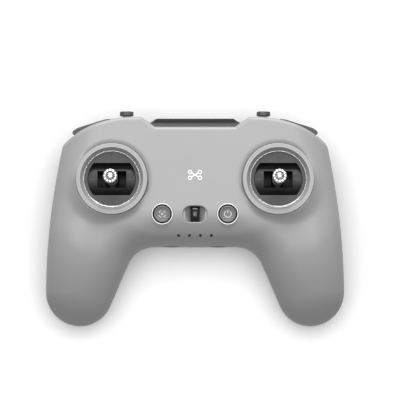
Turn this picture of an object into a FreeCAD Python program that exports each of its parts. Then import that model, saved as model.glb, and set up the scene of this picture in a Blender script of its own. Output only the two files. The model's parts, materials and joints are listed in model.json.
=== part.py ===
"""Hand-held radio transmitter for a model aircraft: two thumb gimbals, a game-pad housing, face and shoulder controls.

The frame: +Z out of the face, +Y towards the shoulders, +X to the right hand. The origin is on the table, under the
middle of the housing, which lies on its back. Millimetres.
"""

import FreeCAD, Part
import math
import os
import re
from FreeCAD import Vector

LEFT, RIGHT = -1, 1
SIDE_NAME = {LEFT: "left", RIGHT: "right"}

# Driving dimensions: alias, value and meaning. They fill the spreadsheet.
DIMENSIONS = {
    # housing outline, right half
    "grip_x": (64.65, "centre of the round grip end, across"),
    "grip_y": (-40.5, "centre of the round grip end, along"),
    "grip_radius": (18.55, "round grip end"),
    "grip_lean": (23.5, "lean of the grip's inner edge from the Y axis, degrees"),
    "side_start": (1.2, "where the side arc leaves the grip end, degrees"),
    "front_edge_y": (-14.7, "edge between the grips"),
    "crotch_radius": (15.7, "hollow between that edge and a grip"),
    "corner_x": (73.7, "outer corner, where the side ends"),
    "corner_y": (41.3, "outer corner, where the side ends"),
    "facet_x": (67.9, "end of the corner facet"),
    "facet_y": (46.2, "end of the corner facet"),
    "shoulder_radius": (61.6, "arc of the shoulder"),
    "peak_outer_x": (34.0, "flat top of the shoulder, outer end"),
    "peak_inner_x": (29.9, "flat top of the shoulder, inner end"),
    "peak_y": (56.4, "flat top of the shoulder"),
    "valley_x": (22.1, "half width of the top edge between the shoulders"),
    "valley_y": (50.9, "top edge between the shoulders"),
    # housing heights
    "face_z": (38.0, "flat face"),
    "parting_z": (22.0, "joint between the shells, above the table"),
    "parting_bend_y": (10.0, "the joint is level beyond this"),
    "parting_drop": (0.0023, "drop of the joint towards the grips"),
    "apron_y": (6.0, "the face starts to fall away here"),
    "apron_bend": (26.0, "bend of the face between the grips, radius"),
    "grip_bend": (120.0, "bend of a grip, radius"),
    "back_z": (6.0, "flat back between the hands"),
    "hollow_depth": (3.0, "finger hollow behind the gimbals"),
    "wall": (2.0, "housing wall"),
    "edge_round": (12.0, "rounding of the housing's sides"),
    "apron_round": (6.0, "rounding of the edge between the grips"),
    "back_round": (14.0, "rounding of the back"),
    # gimbals
    "gimbal_x": (46.0, "gimbal centre, across"),
    "gimbal_y": (21.7, "gimbal centre, along"),
    "gimbal_z": (24.0, "both stick axes"),
    "collar_height": (1.6, "collar of the face round a gimbal, above the flat face"),
    "ring_outer": (19.75, "raised ring, outer radius"),
    "ring_inner": (17.3, "inner edge of the ring's flat top"),
    "ring_bore": (15.8, "ring, bore"),
    "ring_seat": (15.2, "ring, bore under the cover plate"),
    "ring_top": (40.6, "ring's top"),
    "ring_flange": (20.3, "ring's flange under the face"),
    "flange_top": (35.4, "ring's flange, upper side"),
    "trim_inner": (14.8, "bright trim ring, inner radius"),
    "plate_bottom": (36.8, "gimbal cover plate, lower side"),
    "plate_thick": (1.1, "gimbal cover plate"),
    "window_half": (8.95, "half height of the plate's window"),
    "window_radius": (13.4, "round ends of the plate's window"),
    "drum_radius": (12.4, "drum that carries the stick"),
    "drum_wall": (1.5, "drum wall"),
    "drum_half": (13.1, "half length of the drum"),
    "slot_length": (16.0, "drum slot, across"),
    "slot_width": (9.3, "drum slot, along"),
    "axle_radius": (2.0, "drum axle"),
    "axle_outer": (18.4, "end of the drum axle, magnet side"),
    "axle_inner": (20.6, "end of the drum axle, spring side"),
    "spring_inner": (2.75, "coil round the drum axle, inner radius"),
    "spring_outer": (3.45, "coil round the drum axle, outer radius"),
    "spring_length": (2.8, "coil round the drum axle"),
    "running_gap": (0.05, "radial play of a shaft"),
    "frame_inner": (14.8, "gimbal frame wall, inner side"),
    "frame_outer": (17.2, "gimbal frame wall, outer side"),
    "frame_half": (11.0, "half width of the gimbal frame"),
    "frame_bottom": (8.0, "underside of the gimbal frame"),
    "tab_x": (17.5, "gimbal screw, across from the gimbal centre"),
    "tab_y": (15.5, "gimbal screw, along from the gimbal centre"),
    "tab_top": (33.9, "top of the gimbal frame"),
    "tab_thick": (2.0, "gimbal frame's top plate"),
    "tab_half_x": (20.3, "gimbal frame's top plate, half width"),
    "tab_half_y": (18.0, "gimbal frame's top plate, half depth"),
    "pin_radius": (1.5, "cross pin of the stick holder"),
    "pin_half": (12.1, "half length of the cross pin"),
    "barrel_radius": (3.6, "stick holder's barrel"),
    "barrel_half": (7.9, "half length of the stick holder's barrel"),
    "shaft_radius": (2.0, "stick shaft"),
    "crown_radius": (3.85, "stick crown"),
    "crown_bottom": (51.5, "foot of the stick crown"),
    "crown_top": (62.0, "top of the stick crown"),
    "crown_teeth": (12, "teeth round the crown"),
    # face controls
    "button_x": (18.1, "face buttons, across"),
    "button_y": (2.4, "face buttons and strap bar, along"),
    "button_radius": (4.55, "face button cap"),
    "button_ring": (5.9, "bright ring round a face button"),
    "button_z": (37.75, "face at the buttons"),
    "button_tilt": (7.9, "lean of the face at the buttons, degrees"),
    "stem_end": (9.0, "button stem, below the face"),
    "strap_length": (13.3, "strap recess, across"),
    "strap_width": (8.8, "strap recess, along"),
    "strap_bar_half": (2.6, "strap bar, half width"),
    "strap_bar_top": (37.5, "strap bar, top"),
    "cup_floor": (29.9, "strap recess, floor"),
    "cup_wall": (1.0, "strap recess, wall"),
    "led_pitch": (6.07, "battery lamps"),
    "led_y": (-9.3, "battery lamps"),
    "led_radius": (0.65, "lamp light pipe"),
    # shoulder controls
    "toggle_x": (38.1, "toggle switch, across"),
    "toggle_y": (47.0, "toggle pivot"),
    "toggle_z": (28.7, "toggle pivot"),
    "toggle_width": (7.7, "toggle knob"),
    "toggle_base": (10.4, "toggle knob, from the pivot"),
    "bumper_z": (25.5, "shoulder key, lower side"),
    "bumper_height": (8.0, "shoulder key"),
    "hinge_x": (49.0, "shoulder key hinge"),
    "hinge_y": (48.6, "shoulder key hinge"),
    "hinge_pin": (1.0, "hinge pins of the keys and toggles, radius"),
    "dial_x": (55.0, "dial axis"),
    "dial_y": (45.6, "dial axis"),
    "dial_z": (12.2, "dial's lower side"),
    "dial_radius": (8.0, "dial"),
    "dial_width": (5.5, "dial"),
    # inside and underside
    "board_z": (22.4, "main board, lower side"),
    "board_thick": (1.6, "main board"),
    "board_half": (24.0, "main board, half width"),
    "port_z": (14.5, "charging port axis"),
    "store_x": (13.0, "stick store, across"),
    "store_z": (15.2, "stick store axis"),
    "store_bore": (4.25, "stick store, bore radius"),
    "store_outer": (4.9, "stick store sleeve, outer radius"),
    "store_depth": (23.0, "stick store, depth"),
    "antenna_tip": (24.9, "antenna cover, pointed end"),
    "antenna_back": (55.65, "antenna cover, outer face"),
    "antenna_z": (21.0, "antenna cover, lower side"),
    "antenna_top": (34.5, "antenna cover, upper side"),
    "screw_radius": (0.9, "self-tapping screw"),
}

DOC = FreeCAD.newDocument("Transmitter")
SHEET = DOC.addObject("Spreadsheet::Sheet", "Dimensions")
PIECES = []


def fill_sheet():
    """Writes every driving dimension as a plain number with an alias."""
    for row, (alias, (value, meaning)) in enumerate(DIMENSIONS.items(), start=1):
        SHEET.set(f"A{row}", meaning)
        SHEET.set(f"B{row}", str(value))
        SHEET.setAlias(f"B{row}", alias)
    DOC.recompute()


def size(alias):
    """A driving dimension, for geometry that no expression can hold."""
    return float(SHEET.get(alias))


def formula(text):
    """The expression for a formula that names driving dimensions by their alias."""
    return re.sub(
        r"[a-z][a-z_]*", lambda m: "Dimensions." + m.group() if m.group() in DIMENSIONS else m.group(), str(text)
    )


def value(text):
    """What a formula comes to now."""
    return float(SHEET.evalExpression(formula(text)))


def bind(thing, **formulas):
    """Binds properties to formulas. Two underscores stand for a dot, as in Placement__Base__x."""
    for name, text in formulas.items():
        thing.setExpression(name.replace("__", "."), formula(text))
    return thing


def put(thing, place):
    """Binds a thing's position to three formulas."""
    return bind(thing, Placement__Base__x=place[0], Placement__Base__y=place[1], Placement__Base__z=place[2])


# ---------------------------------------------------------------- primitives and booleans


def box(name, corner, lengths):
    """A block from its lowest corner and its three lengths, all formulas."""
    made = DOC.addObject("Part::Box", name)
    bind(made, Length=lengths[0], Width=lengths[1], Height=lengths[2])
    return put(made, corner)


def side_box(name, side, near, far, y, width, z, height):
    """A block that runs from near to far on one side of the middle, measured outwards along X."""
    start = near if side == RIGHT else f"-({far})"
    return box(name, (start, y, z), (f"({far})-({near})", width, height))


TURNS = {
    "X": FreeCAD.Rotation(Vector(0, 1, 0), 90),
    "Y": FreeCAD.Rotation(Vector(1, 0, 0), -90),
    "-Y": FreeCAD.Rotation(Vector(1, 0, 0), 90),
    "Z": FreeCAD.Rotation(),
}


def cylinder(name, radius, height, base, axis="Z"):
    """A cylinder that starts at base and runs along axis."""
    made = DOC.addObject("Part::Cylinder", name)
    bind(made, Radius=radius, Height=height)
    made.Placement = FreeCAD.Placement(Vector(), TURNS[axis])
    return put(made, base)


def fuse(name, *shapes):
    made = DOC.addObject("Part::MultiFuse", name)
    made.Shapes = list(shapes)
    made.Refine = True
    return made


def common(name, *shapes):
    made = DOC.addObject("Part::MultiCommon", name)
    made.Shapes = list(shapes)
    return made


def cut(name, base, *tools):
    made = DOC.addObject("Part::Cut", name)
    made.Base = base
    made.Tool = tools[0] if len(tools) == 1 else fuse(name + "Tools", *tools)
    return made


def group(name, *solids):
    """Identical or joined small pieces that stay separate solids."""
    made = DOC.addObject("Part::Compound", name)
    made.Links = list(solids)
    return made


def fixed_shape(name, shape):
    """A shape set by Part's own functions, where no feature fits."""
    made = DOC.addObject("Part::Feature", name)
    made.Shape = shape
    return made


def piece(label, thing):
    """Names a finished sub-part and puts it on the list to write."""
    thing.Label = label
    PIECES.append(thing)
    return thing


# ---------------------------------------------------------------- sketched bodies


def sketched_body(name, plane, corners):
    """A body and its closed sketch, whose corners are bound to pairs of formulas."""
    body = DOC.addObject("PartDesign::Body", name)
    sketch = body.newObject("Sketcher::SketchObject", name + "Sketch")
    support = next(f for f in body.Origin.OriginFeatures if f.Role == plane)
    sketch.AttachmentSupport = [(support, "")]
    sketch.MapMode = "FlatFace"
    draw_polygon(sketch, corners)
    return body, sketch


def draw_polygon(sketch, corners):
    """Adds a closed polygon to a sketch and fixes each corner by two bound distances."""
    import Sketcher

    points = [Vector(value(u), value(v), 0) for u, v in corners]
    count = len(points)
    first = sketch.GeometryCount
    for i in range(count):
        sketch.addGeometry(Part.LineSegment(points[i], points[(i + 1) % count]), False)
    for i in range(count):
        sketch.addConstraint(Sketcher.Constraint("Coincident", first + i, 2, first + (i + 1) % count, 1))
    for i, (u, v) in enumerate(corners):
        for kind, text, number in (("DistanceX", u, points[i].x), ("DistanceY", v, points[i].y)):
            index = sketch.addConstraint(Sketcher.Constraint(kind, -1, 1, first + i, 1, number))
            sketch.setExpression(f"Constraints[{index}]", formula(text))


def revolved(name, corners, place, plane="XZ_Plane", axis="V_Axis"):
    """A turned piece: its half profile, revolved about its own axis."""
    body, sketch = sketched_body(name, plane, corners)
    turn = body.newObject("PartDesign::Revolution", name + "Turn")
    turn.Profile = sketch
    turn.ReferenceAxis = (sketch, [axis])
    turn.Angle = 360
    return put(body, place)


def padded(name, corners, height, place, plane="XY_Plane"):
    """A flat piece: its outline, padded along the plane's normal."""
    body, sketch = sketched_body(name, plane, corners)
    pad = body.newObject("PartDesign::Pad", name + "Pad")
    pad.Profile = sketch
    bind(pad, Length=height)
    return put(body, place)


# ---------------------------------------------------------------- housing surfaces


def flat(x, y, z=0.0):
    return Vector(x, y, z)


def arc_leaving(start, heading, end):
    """The arc from start, leaving along heading, that ends at end."""
    chord = end - start
    normal = Vector(-heading.y, heading.x, 0)
    radius = chord.dot(chord) / (2 * chord.dot(normal))
    centre = start + normal * radius
    middle = (start + end) * 0.5 - centre
    return Part.Arc(start, centre + middle * (abs(radius) / middle.Length), end).toShape()


def side_edges():
    """The right half of the outline up to the outer corner: front edge, hollow, grip and side."""
    lean = math.radians(size("grip_lean"))
    down = Vector(math.sin(lean), -math.cos(lean), 0)
    inward = Vector(-math.cos(lean), -math.sin(lean), 0)
    grip = flat(size("grip_x"), size("grip_y"))
    radius = size("grip_radius")
    line_end = grip + inward * radius
    front_y = size("front_edge_y")
    meeting = line_end - down * ((front_y - line_end.y) / -down.y)
    reach = size("crotch_radius") * math.tan((math.pi / 2 - lean) / 2)
    bend_start = meeting - Vector(reach, 0, 0)
    bend_end = meeting + down * reach
    bend_centre = bend_start - Vector(0, size("crotch_radius"), 0)
    to_meeting = meeting - bend_centre
    bend_middle = bend_centre + to_meeting * (size("crotch_radius") / to_meeting.Length)
    start = math.radians(size("side_start"))
    side_start = grip + Vector(math.cos(start), math.sin(start), 0) * radius
    bottom = grip + Vector(math.sin(lean / 2), -math.cos(lean / 2), 0) * radius
    corner = flat(size("corner_x"), size("corner_y"))
    return [
        Part.LineSegment(flat(0, front_y), bend_start).toShape(),
        Part.Arc(bend_start, bend_middle, bend_end).toShape(),
        Part.LineSegment(bend_end, line_end).toShape(),
        Part.Arc(line_end, bottom, side_start).toShape(),
        arc_leaving(side_start, Vector(-math.sin(start), math.cos(start), 0), corner),
    ]


def top_edges():
    """The rest of the right half: corner facet, shoulder, peak and the top edge."""
    facet = flat(size("facet_x"), size("facet_y"))
    peak = flat(size("peak_outer_x"), size("peak_y"))
    inner = flat(size("peak_inner_x"), size("peak_y"))
    valley = flat(size("valley_x"), size("valley_y"))
    centre = peak - Vector(0, size("shoulder_radius"), 0)
    half_way = (facet + peak) * 0.5 - centre
    crest = centre + half_way * (size("shoulder_radius") / half_way.Length)
    return [
        Part.LineSegment(flat(size("corner_x"), size("corner_y")), facet).toShape(),
        Part.Arc(facet, crest, peak).toShape(),
        Part.LineSegment(peak, inner).toShape(),
        Part.LineSegment(inner, valley).toShape(),
        Part.LineSegment(valley, flat(0, size("valley_y"))).toShape(),
    ]


def mirrored_wire(edges):
    """A closed wire from its right half."""
    twins = [e.mirror(Vector(), Vector(1, 0, 0)) for e in edges]
    return Part.Wire(Part.__sortEdges__(edges + twins))


def trail(edges, step=0.7):
    """Points along a chain of edges, in order."""
    points = []
    for edge in edges:
        found = edge.discretize(Number=max(2, int(edge.Length / step)))
        if points and (found[-1] - points[-1]).Length < (found[0] - points[-1]).Length:
            found.reverse()
        points += found
    return [(p.x, p.y) for p in points]


def distance_to(points, x, y):
    """Distance from (x, y) to a polyline."""
    best = 1e9
    for (ax, ay), (bx, by) in zip(points, points[1:]):
        ux, uy = bx - ax, by - ay
        length = ux * ux + uy * uy
        if length < 1e-12:
            continue
        share = max(0.0, min(1.0, ((x - ax) * ux + (y - ay) * uy) / length))
        best = min(best, math.hypot(x - ax - share * ux, y - ay - share * uy))
    return best


def inside(loop, x, y):
    """Whether (x, y) lies inside a closed polygon."""
    found = False
    for (ax, ay), (bx, by) in zip(loop, loop[1:] + loop[:1]):
        if (ay > y) != (by > y) and x < ax + (y - ay) * (bx - ax) / (by - ay):
            found = not found
    return found


def smooth(u):
    u = max(0.0, min(1.0, u))
    return u * u * (3 - 2 * u)


ROUND_POWER = 2.6
ROUND_LIP = 0.12


def rounding(depth, width):
    """Share of full height at a depth inside the edge. It goes on straight outside the edge."""
    share = (depth / width + ROUND_LIP) / (1 + ROUND_LIP)
    edge = ROUND_LIP / (1 + ROUND_LIP)
    if share >= 1:
        return 1.0
    at = max(share, edge)
    rest = 1 - (1 - at) ** ROUND_POWER
    height = rest ** (1 / ROUND_POWER)
    slope = (1 - at) ** (ROUND_POWER - 1) * rest ** (1 / ROUND_POWER - 1)
    return height + slope * (share - at)


def parting_height(y):
    """Height of the joint between the shells."""
    return size("parting_z") - size("parting_drop") * max(0.0, size("parting_bend_y") - y) ** 2


def hand_share(x):
    """0 between the hands, 1 over a grip."""
    return smooth((abs(x) - 22) / 20)


def face_height(x, y, depth):
    """Height of the face, at a depth inside the outline."""
    fall = max(0.0, size("apron_y") - y) ** 2 / 2
    share = hand_share(x)
    crown = size("face_z") - (1 - share) * fall / size("apron_bend") - share * fall / size("grip_bend")
    width = size("apron_round") + (size("edge_round") - size("apron_round")) * share
    foot = parting_height(y)
    return foot + (crown - foot) * rounding(depth, width)


def back_height(x, y, depth):
    """Height of the back, at a depth inside the outline. It goes a little below the table, which trims it flat."""
    hollow = size("hollow_depth") * math.exp(-(((y + 2) / 16) ** 2)) - 0.25
    share = smooth((abs(x) - 26) / 16)
    crown = size("back_z") * (1 - share) + hollow * share
    width = 8.0 + (size("back_round") - 8.0) * share
    foot = parting_height(y)
    return foot - (foot - crown) * rounding(depth, width)


def height_surface(height, depths, shift, lift):
    """A smooth surface over the housing. shift moves its edges inwards and lift moves it up."""
    rows = []
    for x in GRID_X:
        rows.append([Vector(x, y, height(x, y, depths[abs(x), y] - shift) + lift) for y in GRID_Y])
    surface = Part.BSplineSurface()
    surface.interpolate(rows)
    return surface.toShape()


GRID_STEP = 3.5
GRID_X = [GRID_STEP * i for i in range(-25, 26)]
GRID_Y = [GRID_STEP * i for i in range(-19, 19)]
DEEP = 80.0


def depth_table(path, loop):
    """Signed distance inside the outline for the right half of the grid."""
    found = {}
    for x in (x for x in GRID_X if x >= 0):
        for y in GRID_Y:
            reach = distance_to(path, x, y)
            found[x, y] = reach if inside(loop, x, y) else -reach
    return found


def parting_wedge(up):
    """All the space above, or below, the joint between the shells."""
    half = GRID_X[-1] + 10
    ys = [GRID_Y[0] - 10 + 4 * i for i in range(38)]
    curve = Part.BSplineCurve()
    curve.interpolate([Vector(-half, y, parting_height(y)) for y in ys])
    sheet = curve.toShape().extrude(Vector(2 * half, 0, 0))
    return sheet.extrude(Vector(0, 0, DEEP if up else -DEEP))


def housing_blocks():
    """The housing as solid blocks and their hollows: features by name."""
    sides, tops = side_edges(), top_edges()
    outline = mirrored_wire(sides + tops)
    whole = trail(sides + tops)
    corner = whole[len(trail(sides)) - 1]
    tall = trail(sides) + [(corner[0] - 7.0, corner[1] + 33.0)]
    depths = {
        "face": depth_table(tall, tall + [(-x, y) for x, y in reversed(tall)]),
        "back": depth_table(whole, whole + [(-x, y) for x, y in reversed(whole)]),
    }
    wedges = {"face": parting_wedge(True), "back": parting_wedge(False)}
    wires = {"block": outline, "hollow": outline.makeOffset2D(-size("wall"), 2)}
    made = {}
    for kind, wire in wires.items():
        shift = 0.0 if kind == "block" else size("wall")
        prism = Part.Face(wire).extrude(Vector(0, 0, DEEP))
        under = height_surface(face_height, depths["face"], shift, -shift).extrude(Vector(0, 0, -DEEP))
        over = height_surface(back_height, depths["back"], shift, shift).extrude(Vector(0, 0, DEEP))
        for half, limit in (("face", under), ("back", over)):
            shape = prism.common(limit)
            if kind == "block":
                shape = shape.common(wedges[half])
            made[half + kind] = fixed_shape(half + kind, shape)
    return made


def side_place(side, x, y, z):
    """A place given by formulas for the right side, mirrored for the left."""
    return (x if side == RIGHT else f"-({x})", y, z)


def mirrored(half):
    """A closed outline from its right half, written from the bottom up."""
    return half + [(f"-({x})", z) for x, z in reversed(half)]


def slot_along_x(name, length, width, height, place):
    """A round-ended slot cutter, its length along X, its place the middle of its lower side."""
    x, y, z = place
    straight = f"(({length})-({width}))"
    parts = [box(name + "Mid", (f"{x}-{straight}/2", f"{y}-({width})/2", z), (straight, width, height))]
    for end in (-1, 1):
        spot = (f"{x}+({end})*{straight}/2", y, z)
        parts.append(cylinder(f"{name}End{end + 1}", f"({width})/2", height, spot))
    return fuse(name, *parts)


def tube(name, outer, bore, height, base, axis="Z"):
    """A plain tube."""
    shell = cylinder(name + "Outer", outer, height, base, axis)
    return cut(name, shell, cylinder(name + "Bore", bore, height, base, axis))


def tilted(thing):
    """Leans a face button's part towards the user."""
    base = thing.Placement.Base
    thing.Placement = FreeCAD.Placement(base, FreeCAD.Rotation(Vector(1, 0, 0), size("button_tilt")))
    return thing


HOUSING_SCREWS = ((64.0, -42.0, 12.0), (69.5, -3.0, 15.0), (28.6, 47.6, 15.0))
BOARD_SCREWS = ((21.0, 39.5), (21.0, -8.0))


def front_shell(blocks):
    """The upper shell: posts, gimbal collars, and openings for the gimbals, buttons, toggles, keys and strap."""
    posts, collars, tools = [], [], []
    tools.append(slot_along_x("StrapHole", "strap_length", "strap_width", 20, (0, "button_y", "cup_floor")))
    for i in range(4):
        spot = (f"({i}-1.5)*led_pitch", "led_y", 20)
        tools.append(cylinder(f"LedHole{i}", "led_radius+0.05", 20, spot))
    for side in (LEFT, RIGHT):
        name = SIDE_NAME[side].title()
        gimbal = side_place(side, "gimbal_x", "gimbal_y", 30)
        tools.append(cylinder(name + "RingHole", "ring_outer+0.1", 20, gimbal))
        tools.append(cylinder(name + "RingSeat", "ring_flange+0.2", "flange_top-30", gimbal))
        collar = DOC.addObject("Part::Cone", name + "Collar")
        bind(collar, Radius1="ring_outer+4.6", Radius2="ring_outer+0.8", Height="collar_height+1")
        collars.append(put(collar, side_place(side, "gimbal_x", "gimbal_y", "face_z-1")))
        for i, (dx, dy) in enumerate(((-1, -1), (1, -1), (-1, 1), (1, 1))):
            spot = side_place(side, f"gimbal_x+({dx})*tab_x", f"gimbal_y+({dy})*tab_y", "tab_top")
            posts.append(cylinder(f"{name}GimbalPost{i}", 2.8, 2.3, spot))
            tools.append(cylinder(f"{name}GimbalPilot{i}", "screw_radius", 2.7, spot))
        for i, (x, y) in enumerate(BOARD_SCREWS):
            spot = side_place(side, x, y, "board_z+board_thick")
            posts.append(cylinder(f"{name}BoardPost{i}", 2.4, 20, spot))
            tools.append(cylinder(f"{name}BoardPilot{i}", "screw_radius", 5, spot))
        for i, (x, y, z) in enumerate(HOUSING_SCREWS):
            posts.append(cylinder(f"{name}FrontPost{i}", 2.6, 30, side_place(side, x, y, z)))
            tools.append(cylinder(f"{name}FrontPilot{i}", "screw_radius", 6, side_place(side, x, y, z)))
        posts.append(cylinder(name + "HingePost", 2.4, 5, side_place(side, "hinge_x", "hinge_y", "bumper_z+8.6")))
        tools.append(cylinder(name + "HingePilot", "hinge_pin", 1.6, side_place(side, "hinge_x", "hinge_y", 34)))
        spot = side_place(side, "button_x", "button_y+20*sin(button_tilt)", "button_z-20*cos(button_tilt)")
        tools.append(tilted(cylinder(name + "ButtonHole", "button_ring+0.05", 30, spot)))
        corner = ("toggle_x-2.8", "toggle_x+2.8")
        tools.append(side_box(name + "ToggleSlot", side, *corner, 50, 10, "toggle_z-4.3", 8.6))
        tools.append(bumper_slot(name + "BumperSlot", side))
    shell = cut("FrontWalls", blocks["faceblock"], blocks["facehollow"])
    stems = common("FrontPosts", fuse("FrontPostSet", *posts), blocks["faceblock"])
    return piece("front_shell", cut("FrontShell", fuse("FrontSolid", shell, stems, *collars), *tools))


def rear_shell(blocks):
    """The lower shell: its posts, and its openings for the screws, charging port, stick store and dial."""
    posts, tools = [], []
    for i, side in enumerate((LEFT, RIGHT)):
        name = "Rear" + SIDE_NAME[side].title()
        for j, (x, y, z) in enumerate(HOUSING_SCREWS):
            posts.append(cylinder(f"{name}Post{j}", 3.3, z, side_place(side, x, y, 0)))
            tools.append(cylinder(f"{name}Bore{j}", "screw_radius+0.1", 30, side_place(side, x, y, 0)))
            tools.append(cylinder(f"{name}Sink{j}", 2.4, z - 4.5, side_place(side, x, y, -1)))
        posts.append(box(f"{name}PortPost", (f"{5 * side}-1.5", -4, 5), (3, 3, "port_z-2.8-5")))
        for j in (-1, 1):
            spot = side_place(side, f"gimbal_x+({6 * j})", "gimbal_y+7", -1)
            tools.append(cylinder(f"{name}Tension{j + 1}", 1.8, 8, spot))
        spot = side_place(side, "store_x", "front_edge_y-2", "store_z")
        tools.append(cylinder(name + "StoreHole", "store_outer+0.05", "store_depth+2", spot, "Y"))
    tools.append(cylinder("DialHole", "dial_radius+0.5", "dial_width+0.8", ("-dial_x", "dial_y", "dial_z-0.4")))
    port = slot_along_x("PortHole", 9.4, 3.7, 8, (0, 0, 0))
    port.Placement.Rotation = TURNS["-Y"]
    tools.append(put(port, (0, "front_edge_y+6", "port_z")))
    shell = cut("RearWalls", blocks["backblock"], blocks["backhollow"])
    stems = common("RearPosts", fuse("RearPostSet", *posts), blocks["backblock"])
    return piece("rear_shell", cut("RearShell", fuse("RearSolid", shell, stems), *tools))


# Key outline for the right side: outer face from the hinge to the outer end, then back inside.
BUMPER_OUTLINE = (
    (47.2, 55.6), (50.0, 55.2), (53.0, 54.4), (57.2, 53.0), (61.6, 51.7), (65.6, 50.3), (67.6, 48.9),
    (68.2, 47.7), (66.4, 46.3), (61.0, 48.4), (55.0, 49.9), (51.2, 50.4), (47.2, 50.6),
)  # fmt: skip


def bumper_face(side, gap, turn):
    """The key's outline as a face, widened by gap and turned about its hinge."""
    points = [Vector(side * x, y, 0) for x, y in BUMPER_OUTLINE]
    wire = Part.makePolygon(points + points[:1])
    if gap:
        wire = wire.makeOffset2D(gap, 2)
    wire.rotate(Vector(side * size("hinge_x"), size("hinge_y"), 0), Vector(0, 0, 1), -side * turn)
    return Part.Face(wire)


def bumper_slot(name, side):
    """The hole a shoulder key moves in."""
    height = size("bumper_height") + 0.7
    still = bumper_face(side, 0.35, 0).extrude(Vector(0, 0, height))
    pressed = bumper_face(side, 0.35, 4.0).extrude(Vector(0, 0, height))
    slot = fixed_shape(name, still.fuse(pressed))
    return put(slot, (0, 0, "bumper_z-0.35"))


def antenna_cover():
    """The dark cover over both antennas, along the top edge."""
    outline = [("0.1-valley_x", "valley_y"), ("valley_x-0.1", "valley_y"), ("antenna_tip", "valley_y+2.6")]
    outline += [("antenna_tip-3.3", "antenna_back"), ("3.3-antenna_tip", "antenna_back")]
    outline += [("-antenna_tip", "valley_y+2.6")]
    plan = padded("AntennaPlan", outline, "antenna_top-antenna_z", (0, 0, "antenna_z"))
    section = [("valley_y-1", "antenna_z"), ("antenna_back-1.5", "antenna_z"), ("antenna_back", "antenna_z+2")]
    section += [("antenna_back", "antenna_top-5"), ("valley_y+1.8", "antenna_top"), ("valley_y-1", "antenna_top")]
    profile = padded("AntennaSection", section, 60, (-30, 0, 0), "YZ_Plane")
    piece("antenna_cover", common("AntennaCover", plan, profile))


def gimbal(side):
    """One gimbal: the fixed ring, plate and frame, the drum that pitches and the stick that rolls in it."""
    word = SIDE_NAME[side]
    name = word.title()
    centre = side_place(side, "gimbal_x", "gimbal_y", 0)
    ring = [("ring_seat", "tab_top"), ("ring_flange", "tab_top"), ("ring_flange", "flange_top")]
    ring += [("ring_outer", "flange_top"), ("ring_outer", "ring_top-0.4"), ("ring_outer-0.4", "ring_top")]
    ring += [("ring_inner", "ring_top"), ("ring_bore", "plate_bottom+2"), ("ring_bore", "plate_bottom")]
    ring += [("ring_seat", "plate_bottom")]
    piece(f"{word}_gimbal_ring", revolved(name + "Ring", ring, centre))
    low = "plate_bottom+plate_thick"
    trim = [("trim_inner", low), ("ring_bore-0.1", low), ("ring_bore-0.1", f"{low}+0.5")]
    trim += [("trim_inner+0.4", f"{low}+0.6"), ("trim_inner", f"{low}+0.3")]
    piece(f"{word}_trim_ring", revolved(name + "Trim", trim, centre))
    gimbal_plate(side)
    gimbal_frame(side)
    gimbal_drum(side)
    stick(side)


def gimbal_plate(side):
    """The dark plate with its round-ended window."""
    name = SIDE_NAME[side].title()
    spot = side_place(side, "gimbal_x", "gimbal_y", "plate_bottom")
    disc = cylinder(name + "PlateDisc", "ring_bore-0.1", "plate_thick", spot)
    round_part = cylinder(name + "WindowRound", "window_radius", "plate_thick", spot)
    corner = side_place(side, "gimbal_x", "gimbal_y-window_half", "plate_bottom")
    band = box(name + "WindowBand", (corner[0] + "-20", corner[1], corner[2]), (40, "2*window_half", "plate_thick"))
    window = common(name + "Window", round_part, band)
    piece(f"{SIDE_NAME[side]}_gimbal_plate", cut(name + "Plate", disc, window))


def gimbal_frame(side):
    """The frame that holds the drum's bearings and screws to the face shell."""
    name = SIDE_NAME[side].title() + "Frame"
    x, y, _ = side_place(side, "gimbal_x", "gimbal_y", 0)
    solids = [
        box(name + "Floor", (f"{x}-frame_outer", f"{y}-frame_half", "frame_bottom"),
            ("2*frame_outer", "2*frame_half", 2)),
        box(name + "Top", (f"{x}-tab_half_x", f"{y}-tab_half_y", "tab_top-tab_thick"),
            ("2*tab_half_x", "2*tab_half_y", "tab_thick")),
    ]  # fmt: skip
    for start in ("frame_inner", "-frame_outer"):
        wall = ("frame_outer-frame_inner", "2*frame_half", "tab_top-frame_bottom")
        corner = (f"{x}+({start})", f"{y}-frame_half", "frame_bottom")
        solids.append(box(f"{name}Wall{len(solids)}", corner, wall))
    tools = [
        cylinder(name + "Well", "frame_inner+2", 4, (x, y, "tab_top-3")),
        cylinder(name + "BearingHoles", "axle_radius+1.2", 60, (f"{x}-30", y, "gimbal_z"), "X"),
    ]
    for i, (dx, dy) in enumerate(((-1, -1), (1, -1), (-1, 1), (1, 1))):
        spot = (f"{x}+({dx})*tab_x", f"{y}+({dy})*tab_y", "tab_top-5")
        tools.append(cylinder(f"{name}Hole{i}", "screw_radius+0.1", 8, spot))
    piece(f"{SIDE_NAME[side]}_gimbal_frame", cut(name, fuse(name + "Solid", *solids), *tools))


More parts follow.
